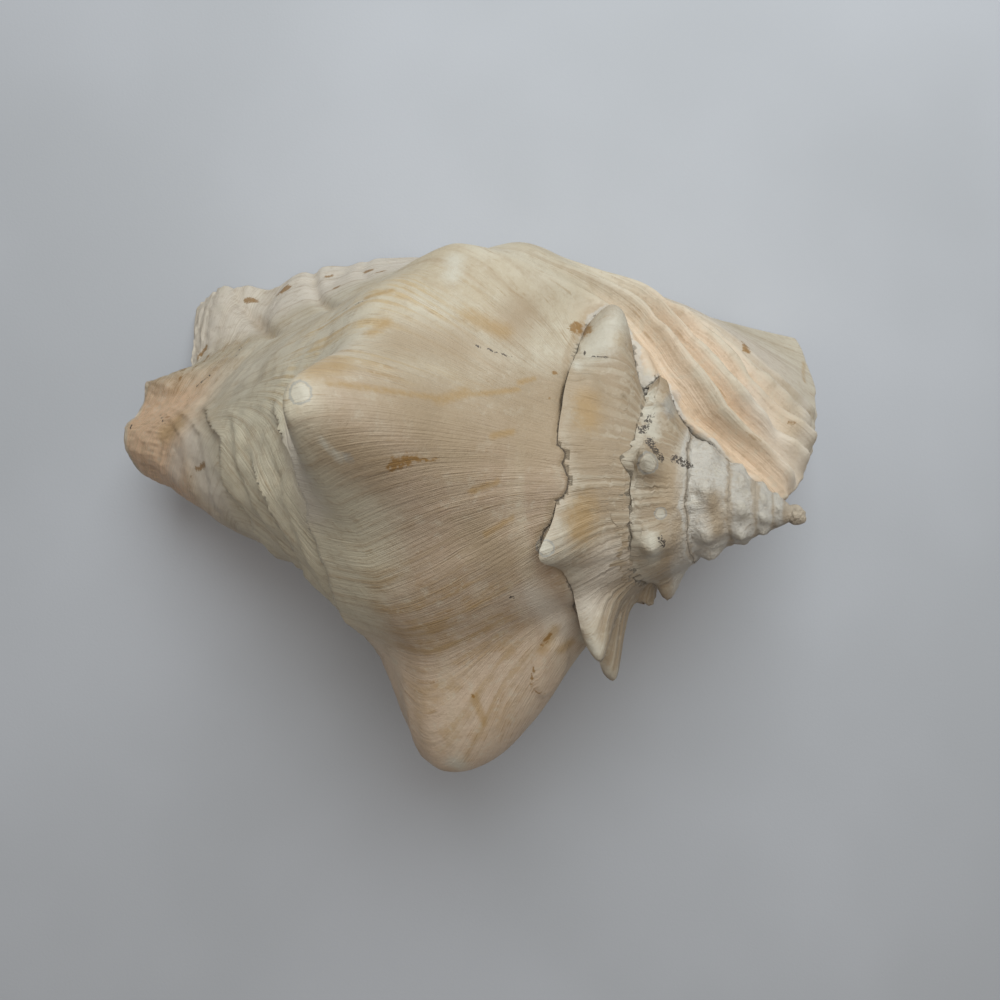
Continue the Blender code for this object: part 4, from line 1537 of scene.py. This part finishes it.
def ground(shell, n, zone):
    colour = shell.mix(shell.step(n.wide, 0.35, 0.65), CREAM, PALE)
    colour = shell.mix(zone["ramp"], colour, RAMP)
    for name, tone, amount in ZONE_TONES:
        colour = shell.mix(zone[name] * (n.patch * PATCHY + (amount - 0.5 * PATCHY)), colour, tone)
    return colour


def streaks(shell, n, zone, colour):
    """Streaks along the growth lines, each colour in its own zones."""
    calm = zone["lobe"] + zone["peach"]
    outside = 1.0 - zone["mouth"]
    colour = shell.mix(shell.step(n.streak, 0.48, 0.72) * outside * (0.5 - calm * 0.25), colour, TAN)
    colour = shell.mix(zone["gold"] * shell.step(n.streak + n.patch * 0.5, 0.68, 0.95) * 0.6, colour, GOLD)
    colour = shell.mix(shell.step(n.turns, 0.45, 0.75) * zone["warm"] * 0.3, colour, TAN)
    colour = shell.mix((1.0 - shell.step(n.turns, 0.25, 0.55)) * zone["warm"] * 0.3, colour, COOL)
    colour = shell.mix(zone["ochre"] * shell.step(n.patch + n.streak, 0.85, 1.3) * 0.6, colour, OCHRE)
    colour = shell.mix(zone["band"] * shell.step(n.patch, 0.3, 0.5) * 0.6, colour, CHALK)
    return shell.mix(zone["grey"] * (0.7 + n.patch * 0.45), colour, GREY)


print(len(ZONE_TONES), "zones with a colour of their own")

# %% Paler crests and darker hollows, partly bleaching and dirt, partly painted highlight and shade, and fine growth lines
CREST_BLEACH_AND_HIGHLIGHT_FROM, CREST_BLEACH_AND_HIGHLIGHT = (0.02, 0.12), 0.75
HOLLOW_DIRT_AND_SHADE_FROM, HOLLOW_DIRT_AND_SHADE = (0.01, 0.08), 0.6


def crest_light_and_hollow_shade(shell, n, zone, colour):
    dirt_and_shade_colour = shell.mix(zone["peach"] + zone["blush"] * 0.5, TAN, APRICOT)
    bare = (1.0 - zone["mouth"]) * (1.0 - zone["ramp"] * 0.7)
    # each crest is painted paler: partly bleaching, partly a painted highlight
    colour = shell.mix(shell.step(zone["crest"], *CREST_BLEACH_AND_HIGHLIGHT_FROM) * bare * CREST_BLEACH_AND_HIGHLIGHT, colour, PALE)
    # each hollow is painted darker, brownish or deeper peach: partly dirt, partly painted shade
    low = shell.step(0.0 - zone["crest"], *HOLLOW_DIRT_AND_SHADE_FROM) * (HOLLOW_DIRT_AND_SHADE - zone["peach"] * 0.25)
    return shell.mix(low * bare, colour, dirt_and_shade_colour)


def growth_lines(shell, n, zone, colour):
    """Brownish lines, ribs on the spire with a painted highlight on their raised lines, mottled chalk and the
    thin broken lines in between.
    """
    outside = 1.0 - zone["mouth"]
    soft = 1.0 - zone["cool"] * 0.4 - zone["salmon"] * 0.3 - zone["peach"] * 0.5
    colour = shell.mix(shell.step(n.fine, 0.52, 0.70) * outside * soft * 0.3, colour, WARM)
    # the ribs' raised lines are painted paler, a painted highlight where the bump rises
    colour = shell.mix(shell.step(n.ribs, 0.48, 0.62) * zone["young spire"] * 0.3, colour, PALE)
    colour = shell.mix(shell.step(n.mottle, 0.5, 0.68) * outside * 0.3, colour, TAN)
    colour = shell.mix((1.0 - shell.step(n.mottle, 0.32, 0.46)) * outside * 0.35, colour, PALE)
    broken = shell.step(n.patch, 0.42, 0.58) * shell.step(n.mottle, 0.40, 0.52)
    thin = shell.step(n.hair, 0.58, 0.68) * broken * (1.0 - zone["grey"]) * outside
    return shell.mix(thin * 0.36, colour, BROWN)


print("crest_light_and_hollow_shade", CREST_BLEACH_AND_HIGHLIGHT, "hollows", HOLLOW_DIRT_AND_SHADE)

# %% Torn edges, marks and worn discs
# mark, its colour, how strongly it covers, how soft its edge is, and how ragged
# the brownish patches darken the wall: partly a stain, partly painted shade
# the lighter patches are painted light, not a real mark
MARK_TONES = [
    ("stained", TAN, 0.85, 0.95, 0.6), ("bleached", LIP, 0.6, 0.95, 0.6), ("orange", OCHRE, 0.6, 0.95, 1.0),
    ("white", CHALK, 0.75, 0.9, 1.0), ("slate", SLATE, 0.5, 0.6, 1.0), ("brown", BROWN, 0.85, 0.45, 2.5),
]
RAGGED = 1.2
SOOT_RAGGED = 2.5


def ragged(n):
    return (n.grit - 0.5) * RAGGED + (n.patch - 0.5) * RAGGED


def torn_edges(shell, n, zone, colour):
    nicks = shell.step(n.fine, 0.58, 0.64) * shell.step(n.nick, 0.52, 0.6) * zone["notch"]
    colour = shell.mix(nicks * 0.5, colour, UMBER)
    frayed = shell.step(n.fine + (n.patch - 0.5) * 0.8, 0.52, 0.64) * zone["torn"]
    return shell.mix(frayed * 0.55, colour, BROWN)


def marks(shell, n, zone, colour):
    edge_noise = ragged(n)
    for name, tone, amount, soft, torn in MARK_TONES:
        inside = 1.0 - shell.step(zone[name] + edge_noise * torn, 1.0 - soft, 1.0 + soft)
        colour = shell.mix(inside * amount, colour, tone)
    worn = zone["disc"] + (n.patch - 0.5) * 0.5 + (n.grit - 0.5) * 0.5
    colour = shell.mix((1.0 - shell.step(worn, 0.7, 0.9)) * 0.7, colour, CHALK)
    ring = shell.step(worn, 0.8, 0.93) * (1.0 - shell.step(worn, 1.0, 1.15))
    return shell.mix(ring * 0.55, colour, SLATE)


print(len(MARK_TONES), "kinds of mark in colour, and soot")

# %% Crust along the seams, soot, and dark seam lines that are partly fissures and partly painted crevice shade
CRACK_AND_CREVICE_SHADE = (0.1, 0.38)


def seams(shell, n, zone, colour):
    crusty = (1.0 - shell.step(zone["seam"] + (n.patch - 0.5) * 9.0, 0.8, 2.0)) * zone["crust"]
    colour = shell.mix(crusty * 0.8, colour, GREY)
    # darker brownish along the old seams: partly stain in the steps, partly painted shade there
    steps = (1.0 - shell.step(zone["old_seam"] + (n.patch - 0.5) * 4.0, 0.3, 1.5)) * zone["grey"]
    colour = shell.mix(steps * 0.55, colour, TAN)
    edge = zone["dark"] + ragged(n) * SOOT_RAGGED
    soot = (1.0 - shell.step(edge, 0.8, 1.1)) * shell.step(n.speckle, 0.42, 0.47)
    colour = shell.mix(soot * 0.95, colour, SOOT)
    # a dark line along every seam: partly the fissure itself, partly painted crevice shade
    crack_and_crevice_shade = 1.0 - shell.step(zone["seam"] + (n.grit - 0.5) * 0.3, *CRACK_AND_CREVICE_SHADE)
    return shell.mix(crack_and_crevice_shade * (1.0 - zone["mouth"]) * (0.8 - zone["ramp"] * 0.35), colour, SOOT)


print("seams are dark up to", CRACK_AND_CREVICE_SHADE[1], "mm")

# %% The whole finish
ROUGH_LOW, ROUGH_SPAN = 0.5, 0.2
MOUTH_POLISH = 0.38
BUMP_HEIGHT = 0.0005
BUMP_STRENGTH = 0.8


def relief_of(n, zone):
    """Height of the finest relief, which is too low for the mesh."""
    height = n.fine * 0.5 + n.streak * 0.3 + n.hair * 0.3 + n.grit * 0.3 + n.mottle * 0.4
    height = height + zone["young spire"] * n.ribs * 1.2
    return (1.0 - zone["mouth"]) * (height + zone["grey"] * (n.patch + n.grit) * 1.2)


def shell_material():
    shell = Shader("worn shell")
    n = noises(shell)
    zone = {name: shell.painted(name) for name in [*ZONES, *MARKS, "disc", "seam", "old_seam", "crest"]}
    zone["young spire"] = zone["ramp"] * (1.0 - zone["grey"])
    colour = ground(shell, n, zone)
    for layer in (streaks, crest_light_and_hollow_shade, growth_lines, torn_edges, marks, seams):
        colour = layer(shell, n, zone, colour)
    gloss = shell.mix(shell.step(n.wide, 0.3, 0.7), PINK, PEACH)
    colour = shell.mix(zone["mouth"], colour, gloss)
    rough = shell.step(n.grit + zone["crest"], 0.2, 0.9) * ROUGH_SPAN + ROUGH_LOW
    shell.bump(relief_of(n, zone), BUMP_HEIGHT, BUMP_STRENGTH)
    return shell.finish(colour, rough - zone["mouth"] * MOUTH_POLISH)


body.data.polygons.foreach_set("use_smooth", [True] * len(body.data.polygons))
body.data.materials.clear()
body.data.materials.append(shell_material())
print("materials", [slot.name for slot in body.data.materials])

# %% Smooth shading, except at edges that are sharp on the real shell too
SHARP_FROM = 60.0

bpy.ops.object.select_all(action="DESELECT")
body.select_set(True)
bpy.context.view_layer.objects.active = body
bpy.ops.object.shade_smooth_by_angle(angle=math.radians(SHARP_FROM))
print("sharp from", SHARP_FROM, "degrees")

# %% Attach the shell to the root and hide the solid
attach(body, "root")
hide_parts("conch_shell")
